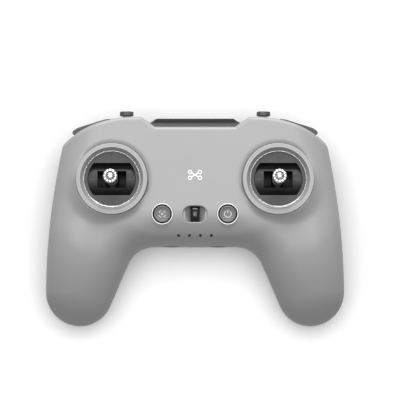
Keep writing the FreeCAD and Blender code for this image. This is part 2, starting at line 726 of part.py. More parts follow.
def gimbal_drum(side):
    """The hollow drum on its axle, with a slot for the stick. It pitches about X."""
    name = SIDE_NAME[side].title() + "Drum"
    x, y, z = side_place(side, "gimbal_x", "gimbal_y", "gimbal_z")
    start = f"{x}-axle_inner" if side == RIGHT else f"{x}-axle_outer"
    barrel = cylinder(name + "Barrel", "drum_radius", "2*drum_half", (f"{x}-drum_half", y, z), "X")
    axle = cylinder(name + "Axle", "axle_radius", "axle_inner+axle_outer", (start, y, z), "X")
    hollow = "2*(drum_half-drum_wall)"
    tools = [
        cylinder(name + "Hollow", "drum_radius-drum_wall", hollow, (f"{x}-drum_half+drum_wall", y, z), "X"),
        box(name + "Slot", (f"{x}-slot_length/2", f"{y}-slot_width/2", z), ("slot_length", "slot_width", 20)),
        cylinder(name + "PinHole", "pin_radius+running_gap", 40, (x, f"{y}-20", z), "Y"),
    ]
    piece(f"{SIDE_NAME[side]}_drum", cut(name, fuse(name + "Solid", barrel, axle), *tools))
    spot = f"{x}+axle_outer" if side == RIGHT else f"{x}-axle_outer-1.2"
    magnet = cylinder(name + "Magnet", 2.6, 1.2, (spot, y, z), "X")
    piece(f"{SIDE_NAME[side]}_pitch_magnet", magnet)


def stick(side):
    """The stick and its holder, which rolls about the drum's cross pin."""
    word = SIDE_NAME[side]
    name = word.title()
    x, y, z = side_place(side, "gimbal_x", "gimbal_y", "gimbal_z")
    pin = cylinder(name + "Pin", "pin_radius", "2*pin_half", (x, f"{y}-pin_half", z), "Y")
    barrel = cylinder(name + "HolderBarrel", "barrel_radius", "2*barrel_half", (x, f"{y}-barrel_half", z), "Y")
    neck = cylinder(name + "HolderNeck", "shaft_radius+1.2", 8, (x, y, z))
    socket = cylinder(name + "Socket", "shaft_radius", 5, (x, y, f"{z}+3"))
    piece(f"{word}_stick_holder", cut(name + "Holder", fuse(name + "HolderSolid", pin, barrel, neck), socket))
    piece(f"{word}_roll_magnet", cylinder(name + "RollMagnet", 2.4, 1.4, (x, y, f"{z}-barrel_radius-1.4")))
    shaft = cylinder(name + "Shaft", "shaft_radius", "crown_top-4-gimbal_z-3", (x, y, f"{z}+3"))
    piece(f"{word}_stick_shaft", shaft)
    lock = [("shaft_radius", "crown_bottom-2.8"), ("shaft_radius+1.0", "crown_bottom-2.8")]
    lock += [("shaft_radius+1.4", "crown_bottom-2.4"), ("shaft_radius+1.4", "crown_bottom-0.4")]
    lock += [("shaft_radius+1.0", "crown_bottom"), ("shaft_radius", "crown_bottom")]
    piece(f"{word}_stick_lock", revolved(name + "Lock", lock, side_place(side, "gimbal_x", "gimbal_y", 0)))
    stick_crown(side)


def stick_crown(side):
    """The knurled metal end of a stick, with teeth round its rim."""
    name = SIDE_NAME[side].title() + "Crown"
    x, y, _ = side_place(side, "gimbal_x", "gimbal_y", 0)
    profile = [("shaft_radius", "crown_bottom"), ("crown_radius-1.1", "crown_bottom")]
    profile += [("crown_radius-0.6", "crown_bottom+0.8"), ("crown_radius-0.6", "crown_bottom+4.6")]
    profile += [("crown_radius", "crown_bottom+5.4"), ("crown_radius", "crown_top-0.9")]
    profile += [("crown_radius-0.7", "crown_top"), ("crown_radius-1.3", "crown_top"), (2.2, "crown_top-1.3")]
    profile += [(1.7, "crown_top-1.3"), (1.4, "crown_top-0.6"), (0, "crown_top-0.5"), (0, "crown_top-4")]
    profile += [("shaft_radius", "crown_top-4")]
    turned = revolved(name + "Body", profile, (x, y, 0))
    notches = []
    for i in range(DIMENSIONS["crown_teeth"][0]):
        angle = 360 * i / DIMENSIONS["crown_teeth"][0]
        notch = DOC.addObject("Part::Prism", f"{name}Notch{i}")
        notch.Polygon = 4
        bind(notch, Circumradius=0.75, Height=3)
        away = FreeCAD.Rotation(Vector(0, 0, 1), angle)
        tip = away.multVec(Vector(2.35, 0, 0))
        notch.Placement = FreeCAD.Placement(tip, away * FreeCAD.Rotation(Vector(0, 1, 0), 90))
        place = (f"{x}+{tip.x:.4f}", f"{y}+{tip.y:.4f}", "crown_top+0.05")
        notches.append(put(notch, place))
    piece(f"{SIDE_NAME[side]}_stick_crown", cut(name, turned, *notches))


def screw(name, radius, head_radius, length, head, place):
    """A cap screw, head down, with a hexagon recess. Its place is the underside of its head."""
    x, y, z = place
    shank = cylinder(name + "Shank", radius, f"({length})+({head})", (x, y, z))
    cap = cylinder(name + "Head", head_radius, head, (x, y, z))
    recess = DOC.addObject("Part::Prism", name + "Recess")
    recess.Polygon = 6
    bind(recess, Circumradius=f"({head_radius})*0.5", Height=f"({head})*0.6")
    return cut(name, fuse(name + "Solid", cap, shank), put(recess, (x, y, z)))


def gimbal_small_parts():
    """Bearings, centring springs, sensor boards and screws of both gimbals."""
    bearings, springs, boards, screws, tension = [], [], [], [], []
    for side in (LEFT, RIGHT):
        name = SIDE_NAME[side].title()
        x, y, z = side_place(side, "gimbal_x", "gimbal_y", "gimbal_z")
        wall = "frame_outer-frame_inner"
        for i, start in enumerate(("frame_inner", "-frame_outer")):
            spot = (f"{x}+({start})", y, z)
            bearings.append(
                tube(f"{name}Bearing{i}", "axle_radius+1.2", "axle_radius+running_gap", wall, spot, "X")
            )
        start = "gimbal_x-frame_outer-0.05" if side == LEFT else "gimbal_x-frame_outer-0.05-spring_length"
        spot = (f"-({start})" if side == LEFT else start, y, z)
        springs.append(tube(name + "Spring", "spring_outer", "spring_inner", "spring_length", spot, "X"))
        outer = ("gimbal_x+tab_half_x", "gimbal_x+tab_half_x+1.0")
        boards.append(side_box(name + "HallBoard", side, *outer, f"{y}-6", 12, 18, "tab_top-18"))
        for i, (dx, dy) in enumerate(((-1, -1), (1, -1), (-1, 1), (1, 1))):
            spot = (f"{x}+({dx})*tab_x", f"{y}+({dy})*tab_y", "tab_top-tab_thick-1.5")
            screws.append(screw(f"{name}GimbalScrew{i}", "screw_radius", 1.9, 4.6, 1.5, spot))
        for i in (-1, 1):
            spot = (f"{x}+({6 * i})", f"{y}+7", 1.2)
            tension.append(screw(f"{name}TensionScrew{i + 1}", 0.9, 1.5, "frame_bottom-1.2-1.6", 1.6, spot))
    piece("gimbal_bearings", group("Bearings", *bearings))
    piece("centring_springs", group("Springs", *springs))
    piece("hall_boards", group("HallBoards", *boards))
    piece("gimbal_screws", group("GimbalScrews", *screws))
    piece("tension_screws", group("TensionScrews", *tension))


def face_button(side, word):
    """A face button and its bright ring. It slides along the face's normal."""
    name = word.title()
    centre = side_place(side, "button_x", "button_y", "button_z")
    ring = [("button_ring-0.55", -2.6), ("button_ring", -2.6), ("button_ring", 0.2)]
    ring += [("button_ring-0.2", 0.35), ("button_ring-0.35", 0.35), ("button_ring-0.55", 0.15)]
    piece(f"{word}_button_ring", tilted(revolved(name + "Ring", ring, centre)))
    cap = [(0, "-stem_end"), (1.6, "-stem_end"), (1.6, -2.4), ("button_radius", -2.4)]
    cap += [("button_radius", 0.15), ("button_radius-0.4", 0.5), (0, 0.55)]
    piece(f"{word}_button", tilted(revolved(name + "Cap", cap, centre)))


def strap_anchor(blocks):
    """The strap recess, a trough closed under the face, and the bar across it."""
    cup = slot_along_x("CupOutside", "strap_length+2*cup_wall", "strap_width+2*cup_wall", 15,
                       (0, "button_y", "cup_floor-cup_wall"))  # fmt: skip
    room = slot_along_x("CupRoom", "strap_length", "strap_width", 20, (0, "button_y", "cup_floor"))
    edge = "strap_length/2"
    cheek = [("2.2", "cup_floor"), (3.1, "cup_floor+1.1"), (4.3, "cup_floor+3.2"), (5.5, "cup_floor+5.5")]
    cheek += [(edge, "face_z-0.5"), (edge, "face_z+4")]
    trough = padded("CupTrough", mirrored(cheek), "strap_width", (0, "button_y+strap_width/2", 0), "XZ_Plane")
    hollow = common("CupHollow", room, trough)
    piece("strap_cup", cut("StrapCup", common("CupUnderFace", cup, blocks["facehollow"]), hollow))
    half = "strap_bar_half"
    profile = [(1.2, "strap_bar_top-2.6"), (f"{half}-0.2", "strap_bar_top-1.5"), (half, "strap_bar_top-0.9")]
    profile += [(f"{half}-0.5", "strap_bar_top-0.2"), (1.2, "strap_bar_top")]
    rod = padded("StrapRod", mirrored(profile), "strap_width", (0, "button_y+strap_width/2", 0), "XZ_Plane")
    piece("strap_bar", rod)


def light_pipes():
    """The four light pipes of the battery lamps, on one carrier."""
    rods = [box("LampCarrier", ("-2*led_pitch", "led_y-1", 25.0), ("4*led_pitch", 2, 1.4))]
    for i in range(4):
        spot = (f"({i}-1.5)*led_pitch", "led_y", "board_z+board_thick")
        rods.append(cylinder(f"LampRod{i}", "led_radius", 9.3, spot))
    piece("led_light_pipes", fuse("LightPipes", *rods))


def toggle(side):
    """A toggle lever, hinged about X, and the switch it works."""
    word = SIDE_NAME[side]
    name = word.title() + "Toggle"
    half = "toggle_width/2"
    x, y, z = side_place(side, "toggle_x", "toggle_y", "toggle_z")
    base = value("toggle_base")
    ridge = ((0.0, 1.5), (0.4, 2.5), (0.8, 2.5), (1.0, 2.1), (1.2, 2.5), (1.6, 2.5), (1.8, 2.1), (2.0, 2.4), (2.8, 1.6))
    upper = [(base + u, v) for u, v in ridge]
    outline = upper + [(u, -v) for u, v in reversed(upper)]
    knob = padded(name + "Knob", outline, "toggle_width", (f"{x}-{half}", y, z), "YZ_Plane")
    plan = [(0, f"-{half}"), (base + 1.7, f"-{half}"), (base + 2.8, f"-{half}+1.1")]
    plan += [(base + 2.8, f"{half}-1.1"), (base + 1.7, half), (0, half)]
    flat_shape = padded(name + "Plan", [(v, u) for u, v in plan], 10, (x, y, f"{z}-5"))
    tip = common(name + "Tip", knob, flat_shape)
    neck = box(name + "Neck", (f"{x}-2.1", y, f"{z}-1.4"), (4.2, base + 1, 2.8))
    hub = cylinder(name + "Hub", 2.6, 6, (f"{x}-3", y, z), "X")
    bore = cylinder(name + "Bore", "hinge_pin+running_gap", 8, (f"{x}-4", y, z), "X")
    piece(f"{word}_toggle", cut(name, fuse(name + "Solid", tip, neck, hub), bore))
    solids = [
        box(name + "Back", (f"{x}-4.6", f"{y}-4.8", f"{z}-4.7"), (9.2, 1.9, f"face_z-wall-0.2-{z}+4.7")),
        cylinder(name + "PinRod", "hinge_pin", 9.2, (f"{x}-4.6", y, z), "X"),
    ]
    for start in (-4.6, 3.4):
        solids.append(box(f"{name}Cheek{len(solids)}", (f"{x}+({start})", f"{y}-2.9", f"{z}-4.7"), (1.2, 5.1, 8)))
    piece(f"{word}_toggle_switch", fuse(name + "Switch", *solids))


def bumper(side):
    """A shoulder key, hinged about an upright pin near its inner end."""
    word = SIDE_NAME[side]
    name = word.title() + "Bumper"
    plate = fixed_shape(name + "Plate", bumper_face(side, 0, 0).extrude(Vector(0, 0, size("bumper_height"))))
    put(plate, (0, 0, "bumper_z"))
    spot = side_place(side, "hinge_x", "hinge_y", "bumper_z")
    knuckle = cylinder(name + "Knuckle", 2.3, "bumper_height", spot)
    bore = cylinder(name + "Bore", "hinge_pin+running_gap", 12, side_place(side, "hinge_x", "hinge_y", "bumper_z-1"))
    piece(f"{word}_bumper", cut(name, fuse(name + "Solid", plate, knuckle), bore))


def bumper_pins():
    """The hinge pins of both shoulder keys."""
    pins = []
    for side in (LEFT, RIGHT):
        spot = side_place(side, "hinge_x", "hinge_y", "bumper_z-3")
        pins.append(cylinder(f"{SIDE_NAME[side].title()}HingePin", "hinge_pin", "35.6-(bumper_z-3)", spot))
    piece("bumper_pins", group("BumperPins", *pins))


def dial():
    """The thumb dial on the left shoulder and its encoder."""
    x, y = "-dial_x", "dial_y"
    profile = [("1.6+running_gap", 0), ("dial_radius-1.2", 0), ("dial_radius", 0.8)]
    profile += [("dial_radius", "dial_width-0.8"), ("dial_radius-1.2", "dial_width")]
    profile += [("1.6+running_gap", "dial_width")]
    wheel = revolved("DialWheel", profile, (x, y, "dial_z"))
    notches = []
    for i in range(24):
        angle = math.radians(15 * i)
        spot = (f"{x}+(dial_radius+0.25)*{math.cos(angle):.4f}", f"{y}+(dial_radius+0.25)*{math.sin(angle):.4f}")
        notches.append(cylinder(f"DialNotch{i}", 0.6, "dial_width+2", (*spot, "dial_z-1")))
    piece("dial", cut("Dial", wheel, *notches))
    can = box("EncoderCan", (f"{x}-4.5", f"{y}-6", "dial_z-4.4"), (9, 7, 4))
    post = cylinder("EncoderPost", 1.6, 13, (x, y, "dial_z-4.9"))
    piece("dial_encoder", fuse("Encoder", can, post))


def electronics():
    """Main board with its shield, beeper and switches, antennas, battery and charging port."""
    top = "board_z+board_thick"
    board = box("BoardBlank", ("-board_half", -11.5, "board_z"), ("2*board_half", 55, "board_thick"))
    holes = []
    for side in (LEFT, RIGHT):
        for i, (x, y) in enumerate(BOARD_SCREWS):
            spot = side_place(side, x, y, 20)
            holes.append(cylinder(f"BoardHole{side + 1}{i}", "screw_radius+0.1", 6, spot))
    piece("main_board", cut("MainBoard", board, *holes))
    piece("rf_shield", box("RfShield", (-13, 19, top), (26, 16, 2.4)))
    piece("beeper", tube("Beeper", 5.5, 1.0, 3.2, (12, 13, top)))
    antenna_y = "valley_y-wall-0.9"
    antennas = [box(f"AntennaBoard{i}", (x, antenna_y, 24.5), (17, 0.9, 9)) for i, x in enumerate((-20, 3))]
    piece("antenna_boards", group("AntennaBoards", *antennas))
    switches = []
    for side in (LEFT, RIGHT):
        name = SIDE_NAME[side].title()
        x, y, z = side_place(side, "button_x", "button_y+stem_end*sin(button_tilt)", top)
        can = box(name + "TactCan", (f"{x}-2.6", f"{y}-2.6", z), (5.2, 5.2, 2.6))
        switches.append(fuse(name + "Tact", can, cylinder(name + "TactTip", 1.1, 3.4, (x, y, z))))
        base = side_box(name + "KeyCan", side, 58, 64, 41.6, 2.6, "bumper_z+1", 8.1)
        tip = cylinder(name + "KeyTip", 1.2, 1.0, side_place(side, 61, 44.2, "bumper_z+4"), "Y")
        switches.append(fuse(name + "Key", base, tip))
    piece("tact_switches", group("TactSwitches", *switches))
    floor = "back_z+wall+0.3"
    piece("battery", box("Battery", (-26, 8.4, floor), (52, 27.6, 12)))
    straps = []
    for i, y in enumerate((11, 28)):
        bar = box(f"ClampBar{i}", (-27.4, y, floor + "+12"), (54.8, 5, 1))
        legs = [box(f"ClampLeg{i}{j}", (x, y, floor), (1.2, 5, 12)) for j, x in enumerate((-27.4, 26.2))]
        straps.append(fuse(f"Clamp{i}", bar, *legs))
    piece("battery_clamps", group("BatteryClamps", *straps))
    piece("charge_board", box("ChargeBoard", (-7.4, -11, "port_z-2.8"), (14.8, 14, 1.2)))
    port_shell = slot_along_x("PortShell", 8.94, 3.2, 7.4, (0, 0, 0))
    port_room = slot_along_x("PortRoom", 8.34, 2.6, 6.4, (0, 0, 1))
    tongue = box("PortTongue", (-3.3, -0.35, 0), (6.6, 0.7, 5.6))
    port = fuse("Port", cut("PortCup", port_shell, port_room), tongue)
    port.Placement.Rotation = TURNS["-Y"]
    piece("usb_port", put(port, (0, "front_edge_y+7.7", "port_z")))
    stores = []
    for side in (LEFT, RIGHT):
        name = SIDE_NAME[side].title() + "Store"
        spot = side_place(side, "store_x", "front_edge_y", "store_z")
        sleeve = cylinder(name + "Sleeve", "store_outer", "store_depth", spot, "Y")
        bore = cylinder(name + "Bore", "store_bore", "store_depth-1", spot, "Y")
        stores.append(cut(name, sleeve, bore))
    piece("stick_stores", group("StickStores", *stores))


def loose_screws():
    """The screws through the rear shell and those under the main board."""
    housing, board = [], []
    for side in (LEFT, RIGHT):
        name = SIDE_NAME[side].title()
        for i, (x, y, z) in enumerate(HOUSING_SCREWS):
            spot = side_place(side, x, y, z - 5.5 - 1.6)
            housing.append(screw(f"{name}HousingScrew{i}", "screw_radius", 2.2, 10.5, 1.6, spot))
        for i, (x, y) in enumerate(BOARD_SCREWS):
            spot = side_place(side, x, y, "board_z-1.2")
            board.append(screw(f"{name}BoardScrew{i}", "screw_radius", 1.8, 5.5, 1.2, spot))
    piece("housing_screws", group("HousingScrews", *housing))
    piece("board_screws", group("BoardScrews", *board))


def write_pieces():
    """Checks every shape, then writes one STEP file per sub-part."""
    for thing in DOC.Objects:
        if {"Invalid", "Error"} & set(thing.State):
            raise RuntimeError(f"{thing.Name} has state {thing.State}")
    os.makedirs("parts", exist_ok=True)
    for thing in PIECES:
        shape = thing.Shape
        if shape.isNull() or not shape.isValid():
            raise RuntimeError(f"{thing.Label} has no valid shape")
        shape.exportStep(f"parts/{thing.Label}.step")
        print(f"{thing.Label}: {len(shape.Solids)} solid(s), {shape.Volume:.1f} mm3")
    print(len(PIECES), "pieces")


def main():
    fill_sheet()
    blocks = housing_blocks()
    front_shell(blocks)
    rear_shell(blocks)
    antenna_cover()
    for side in (LEFT, RIGHT):
        gimbal(side)
        toggle(side)
        bumper(side)
    gimbal_small_parts()
    bumper_pins()
    face_button(LEFT, "custom")
    face_button(RIGHT, "power")
    strap_anchor(blocks)
    light_pipes()
    dial()
    electronics()
    loose_screws()
    DOC.recompute()
    write_pieces()


main()
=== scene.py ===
"""Looks of the radio transmitter: smooth housing skins, moulded and machined details, materials, studio and camera.

Lengths in the helper functions are millimetres in the CAD frame; MM turns them into Blender's metres.
"""

import json
import math

import bmesh
import bpy
import numpy as np
from mathutils import Matrix, Vector
from mathutils.geometry import delaunay_2d_cdt


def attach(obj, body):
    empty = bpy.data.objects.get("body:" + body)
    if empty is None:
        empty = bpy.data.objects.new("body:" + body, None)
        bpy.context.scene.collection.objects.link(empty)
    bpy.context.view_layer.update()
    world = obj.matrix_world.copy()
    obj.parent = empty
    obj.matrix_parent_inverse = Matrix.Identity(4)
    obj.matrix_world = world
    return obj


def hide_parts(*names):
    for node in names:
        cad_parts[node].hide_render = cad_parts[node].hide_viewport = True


MM = 0.001
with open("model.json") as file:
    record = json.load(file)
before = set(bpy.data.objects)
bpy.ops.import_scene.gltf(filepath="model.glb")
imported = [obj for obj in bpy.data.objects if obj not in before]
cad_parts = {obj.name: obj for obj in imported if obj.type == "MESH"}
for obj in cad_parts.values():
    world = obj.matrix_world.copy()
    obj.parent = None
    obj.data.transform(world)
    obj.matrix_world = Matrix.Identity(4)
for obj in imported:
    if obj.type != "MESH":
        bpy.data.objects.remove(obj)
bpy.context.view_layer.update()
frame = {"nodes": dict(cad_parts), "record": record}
NODES = frame["nodes"]
SIDES = {"left": -1, "right": 1}
SLOT_OF = {part["node"]: part["material_slot"] for part in frame["record"]["subparts"]}

# ---------------------------------------------------------------- places shared with the CAD model, in millimetres

FACE_Z = 38.0
WALL = 2.0
GIMBAL = (46.0, 21.7, 24.0)
BUTTON = (18.1, 2.4, 37.75)
BUTTON_TILT = math.radians(7.9)
BUTTON_HOLE = 5.98
STRAP = (0.0, 2.4, 13.3, 8.8)
LED_PITCH, LED_Y, LED_HOLE = 6.07, -9.3, 0.72
LED_PLACES = (-1.5, -0.5, 0.5, 1.5)
FRONT_EDGE_Y = -14.7
RING_OUTER = 19.75
RING_GAP = 0.15
STORE = (13.0, 15.2, 4.9)
PORT_Z = 14.5
HOUSING_SCREWS = ((64.0, -42.0), (69.5, -3.0), (28.6, 47.6))
SCREW_SINK = 2.45
TENSION_X, TENSION_Y, TENSION_HOLE = (-6, 6), 7, 1.85
DIAL_SPOT, DIAL_RADIUS = (-55.0, 45.6), 8.0
TOGGLE = (38.1, 47.0, 28.7)
BUMPER_HINGE = (49.0, 48.6)
BUMPER_CUT_ANGLE = math.radians(4.0)
BUMPER_OUTLINE = (
    (47.2, 55.6), (50.0, 55.2), (53.0, 54.4), (57.2, 53.0), (61.6, 51.7), (65.6, 50.3), (67.6, 48.9),
    (68.2, 47.7), (66.4, 46.3), (61.0, 48.4), (55.0, 49.9), (51.2, 50.4), (47.2, 50.6),
)  # fmt: skip


# ---------------------------------------------------------------- small numeric helpers


def smooth(u):
    u = np.clip(u, 0.0, 1.0)
    return u * u * (3 - 2 * u)


def dome(u, power=2.0):
    """0 at 0 with an upright start, 1 from 1 on with a level end."""
    u = np.clip(u, 0.0, 1.0)
    return (1 - (1 - u) ** power) ** (1 / power)


def arc(centre, radius, start, end, step=0.6):
    """Points along an arc between two angles in radians."""
    count = max(3, int(abs(end - start) * radius / step))
    return [
        (centre[0] + radius * math.cos(start + (end - start) * i / count),
         centre[1] + radius * math.sin(start + (end - start) * i / count))
        for i in range(count + 1)
    ]  # fmt: skip


def line(a, b, step=0.6):
    count = max(1, int(math.dist(a, b) / step))
    return [(a[0] + (b[0] - a[0]) * i / count, a[1] + (b[1] - a[1]) * i / count) for i in range(count + 1)]


def joined(*runs):
    """One chain from several runs of points, without doubled ends."""
    chain = list(runs[0])
    for run in runs[1:]:
        chain += run[1:] if math.dist(chain[-1], run[0]) < 1e-6 else run
    return chain


# ---------------------------------------------------------------- the housing's outline


GRIP_END, GRIP_RADIUS, GRIP_LEAN = (64.65, -40.5), 18.55, math.radians(23.5)
CROTCH_RADIUS = 15.7
CORNER, CORNER_END = (73.7, 41.3), (67.9, 46.2)
SHOULDER_CENTRE, SHOULDER_RADIUS = (34.0, -5.2), 61.6
PEAK, PEAK_END, TOP_NOTCH = (34.0, 56.4), (29.9, 56.4), (22.1, 50.9)
TALL_RUN_END = (-7.0, 33.0)


def side_run():
    """Right half of the outline from the middle of the front edge to the outer corner."""
    lean, grip, radius, crotch = GRIP_LEAN, GRIP_END, GRIP_RADIUS, CROTCH_RADIUS
    down = (math.sin(lean), -math.cos(lean))
    line_end = (grip[0] - math.cos(lean) * radius, grip[1] - math.sin(lean) * radius)
    back = (FRONT_EDGE_Y - line_end[1]) / -down[1]
    meeting = (line_end[0] - down[0] * back, FRONT_EDGE_Y)
    reach = crotch * math.tan((math.pi / 2 - lean) / 2)
    bend_centre = (meeting[0] - reach, FRONT_EDGE_Y - crotch)
    bend_end = (meeting[0] + down[0] * reach, meeting[1] + down[1] * reach)
    bend_angle = math.atan2(bend_end[1] - bend_centre[1], bend_end[0] - bend_centre[0])
    start = math.radians(1.2)
    side_start = (grip[0] + math.cos(start) * radius, grip[1] + math.sin(start) * radius)
    chord = (CORNER[0] - side_start[0], CORNER[1] - side_start[1])
    normal = (-math.cos(start), -math.sin(start))
    bend = (chord[0] ** 2 + chord[1] ** 2) / (2 * (chord[0] * normal[0] + chord[1] * normal[1]))
    centre = (side_start[0] + normal[0] * bend, side_start[1] + normal[1] * bend)
    last = math.atan2(CORNER[1] - centre[1], CORNER[0] - centre[0])
    return joined(
        line((0.0, FRONT_EDGE_Y), (bend_centre[0], FRONT_EDGE_Y)),
        arc(bend_centre, crotch, math.pi / 2, bend_angle),
        line(bend_end, line_end),
        arc(grip, radius, math.pi + lean, 2 * math.pi + start),
        arc(centre, bend, start, last),
    )


def top_run():
    """The rest of the right half: corner facet, shoulder, peak and the top edge."""
    start = math.atan2(CORNER_END[1] - SHOULDER_CENTRE[1], CORNER_END[0] - SHOULDER_CENTRE[0])
    return joined(
        line(CORNER, CORNER_END),
        arc(SHOULDER_CENTRE, SHOULDER_RADIUS, start, math.pi / 2),
        line(PEAK, PEAK_END),
        line(PEAK_END, TOP_NOTCH),
        line(TOP_NOTCH, (0.0, TOP_NOTCH[1])),
    )


SIDE_RUN, TOP_RUN = side_run(), top_run()
HALF_RUN = joined(SIDE_RUN, TOP_RUN)
OUTLINE = HALF_RUN[:-1] + [(-x, y) for x, y in reversed(HALF_RUN)][:-1]
TALL_RUN = SIDE_RUN + [(SIDE_RUN[-1][0] + TALL_RUN_END[0], SIDE_RUN[-1][1] + TALL_RUN_END[1])]


def reach(points, path, closed=False):
    """Distance of each point from a polyline."""
    path = np.array(path)
    if closed:
        path = np.vstack([path, path[:1]])
    a, b = path[:-1], path[1:]
    along = b - a
    length = (along**2).sum(1)
    best = np.full(len(points), 1e9)
    for start in range(0, len(points), 2000):
        part = points[start : start + 2000, None, :] - a[None]
        share = np.clip((part * along[None]).sum(2) / np.maximum(length, 1e-12), 0, 1)
        gap = part - share[..., None] * along[None]
        best[start : start + 2000] = np.sqrt((gap**2).sum(2).min(1))
    return best


def within(points, loop):
    """Whether each point is inside a closed polygon."""
    loop = np.array(loop)
    nxt = np.roll(loop, -1, axis=0)
    found = np.zeros(len(points), bool)
    for (ax, ay), (bx, by) in zip(loop, nxt):
        if ay == by:
            continue
        rows = (ay > points[:, 1]) != (by > points[:, 1])
        found ^= rows & (points[:, 0] < ax + (points[:, 1] - ay) * (bx - ax) / (by - ay))
    return found


def parting(y):
    """Height of the joint between the shells: level at the shoulders, lower towards the grips."""
    return 22.0 - 0.0023 * np.maximum(0.0, 10.0 - y) ** 2


def lip(gap, radius):
    """Drop of a surface near an edge that is rounded over by radius."""
    u = np.clip(radius - gap, 0, radius)
    return radius - np.sqrt(radius**2 - u**2)


# The share of the height that is an upright wall, at the grips and in the middle of the back, and the top edge's round.
SIDE_BAND, BACK_BAND = 0.28, 0.66
TOP_EDGE = 2.2


def face_heights(points):
    """Height of the face at points inside the outline."""
    x, y = np.abs(points[:, 0]), points[:, 1]
    mirrored = np.stack([x, y], 1)
    fall = np.maximum(0.0, 6.0 - y) ** 2 / 2
    share = smooth((x - 22) / 20)
    crown = FACE_Z - (1 - share) * fall / 26.0 - share * fall / 120.0
    width = 6.0 + 12.0 * share
    foot = parting(y)
    side = SIDE_BAND + (1 - SIDE_BAND) * dome(reach(mirrored, TALL_RUN) / width)
    z = foot + (crown - foot) * side
    z -= TOP_EDGE * (1 - dome(reach(mirrored, TOP_RUN) / TOP_EDGE))
    r = np.hypot(x - GIMBAL[0], y - GIMBAL[1])
    z += collar(x - GIMBAL[0], y - GIMBAL[1], r)
    z -= lip(r - RING_OUTER - RING_GAP, 0.3)
    z -= lip(np.hypot(x - BUTTON[0], y - BUTTON[1]) - BUTTON_HOLE, 0.25)
    z -= lip(slot_reach(x, y) - 0.02, 0.5)
    for i in LED_PLACES[2:]:
        z -= lip(np.hypot(x - i * LED_PITCH, y - LED_Y) - LED_HOLE, 0.15)
    return z


def collar(dx, dy, r):
    """Rise of the face to a gimbal ring: a wide collar towards the grip, a shallow moat towards the antennas."""
    r = np.maximum(r, 1.0)
    low = smooth(((0.5 * dx - 0.866 * dy) / r + 0.35) / 0.9)
    grip_side = np.maximum(0.0, (0.707 * dx - 0.707 * dy) / r) ** 3
    width = 2.9 + (0.9 + 4.2 * grip_side) * low
    rise = -0.85 + (2.4 + 0.9 * grip_side) * low
    fall = 0.8 * grip_side * smooth((r - RING_OUTER) / 9.0) * smooth((44.0 - r) / 16.0)
    return rise * (1 - np.clip((r - RING_OUTER - RING_GAP) / width, 0, 1)) ** 1.9 - fall


def slot_reach(x, y):
    """Distance outside the strap recess's edge."""
    straight = (STRAP[2] - STRAP[3]) / 2
    return np.hypot(np.maximum(0, np.abs(x) - straight), y - STRAP[1]) - STRAP[3] / 2


def back_heights(points):
    """Height of the back at points inside the outline."""
    x, y = np.abs(points[:, 0]), points[:, 1]
    mirrored = np.stack([x, y], 1)
    hollow = 3.0 * np.exp(-(((y + 2) / 16) ** 2)) - 0.25
    share = smooth((x - 26) / 16)
    crown = np.maximum(0.0, 6.0 * (1 - share) + hollow * share)
    width = 4.5 + 9.5 * share
    foot = parting(y)
    band = BACK_BAND - (BACK_BAND - SIDE_BAND) * share
    side = band + (1 - band) * dome(reach(mirrored, HALF_RUN) / width)
    z = foot - (foot - crown) * side
    for sx, sy in HOUSING_SCREWS:
        z += lip(np.hypot(x - sx, y - sy) - SCREW_SINK, 0.3)
    for i in TENSION_X:
        z += lip(np.hypot(x - GIMBAL[0] - i, y - GIMBAL[1] - TENSION_Y) - TENSION_HOLE, 0.2)
    return z


GRID_STEP = 1.5
RING_DEPTHS = (0.03, 0.09, 0.18, 0.32, 0.5, 0.75, 1.05, 1.4, 1.8, 2.3, 2.9, 3.6, 4.4, 5.3, 6.3, 7.4, 8.7, 10.1, 11.6)


def inward_of(loop):
    """Unit directions that point into an anticlockwise loop at its points."""
    tangent = np.roll(loop, -1, axis=0) - np.roll(loop, 1, axis=0)
    tangent /= np.linalg.norm(tangent, axis=1)[:, None]
    return np.stack([-tangent[:, 1], tangent[:, 0]], 1)


def inset_points(depths):
    """Points at set depths inside the outline, where nothing nearer takes over."""
    loop = np.array(OUTLINE)
    inward = inward_of(loop)
    found = []
    for depth in depths:
        skip = 1 if depth < 3 else 2
        spots = (loop + inward * depth)[::skip]
        near = reach(spots, OUTLINE, closed=True)
        found.append(spots[(near > depth * 0.97) & within(spots, OUTLINE)])
    return np.vstack(found)


def circle_loop(x, y, radius, step=0.45):
    count = max(16, int(2 * math.pi * radius / step))
    return [(x + radius * math.cos(2 * math.pi * i / count), y + radius * math.sin(2 * math.pi * i / count))
            for i in range(count)]  # fmt: skip


def strap_loop(grow=0.0):
    """The strap recess's outline, grown by a distance."""
    straight, radius = (STRAP[2] - STRAP[3]) / 2, STRAP[3] / 2 + grow
    right = arc((straight, STRAP[1]), radius, -math.pi / 2, math.pi / 2, 0.4)
    left = arc((-straight, STRAP[1]), radius, math.pi / 2, 1.5 * math.pi, 0.4)
    top, bottom = line(right[-1], left[0], 0.4), line(left[-1], right[0], 0.4)
    return right + top[1:-1] + left + bottom[1:-1]


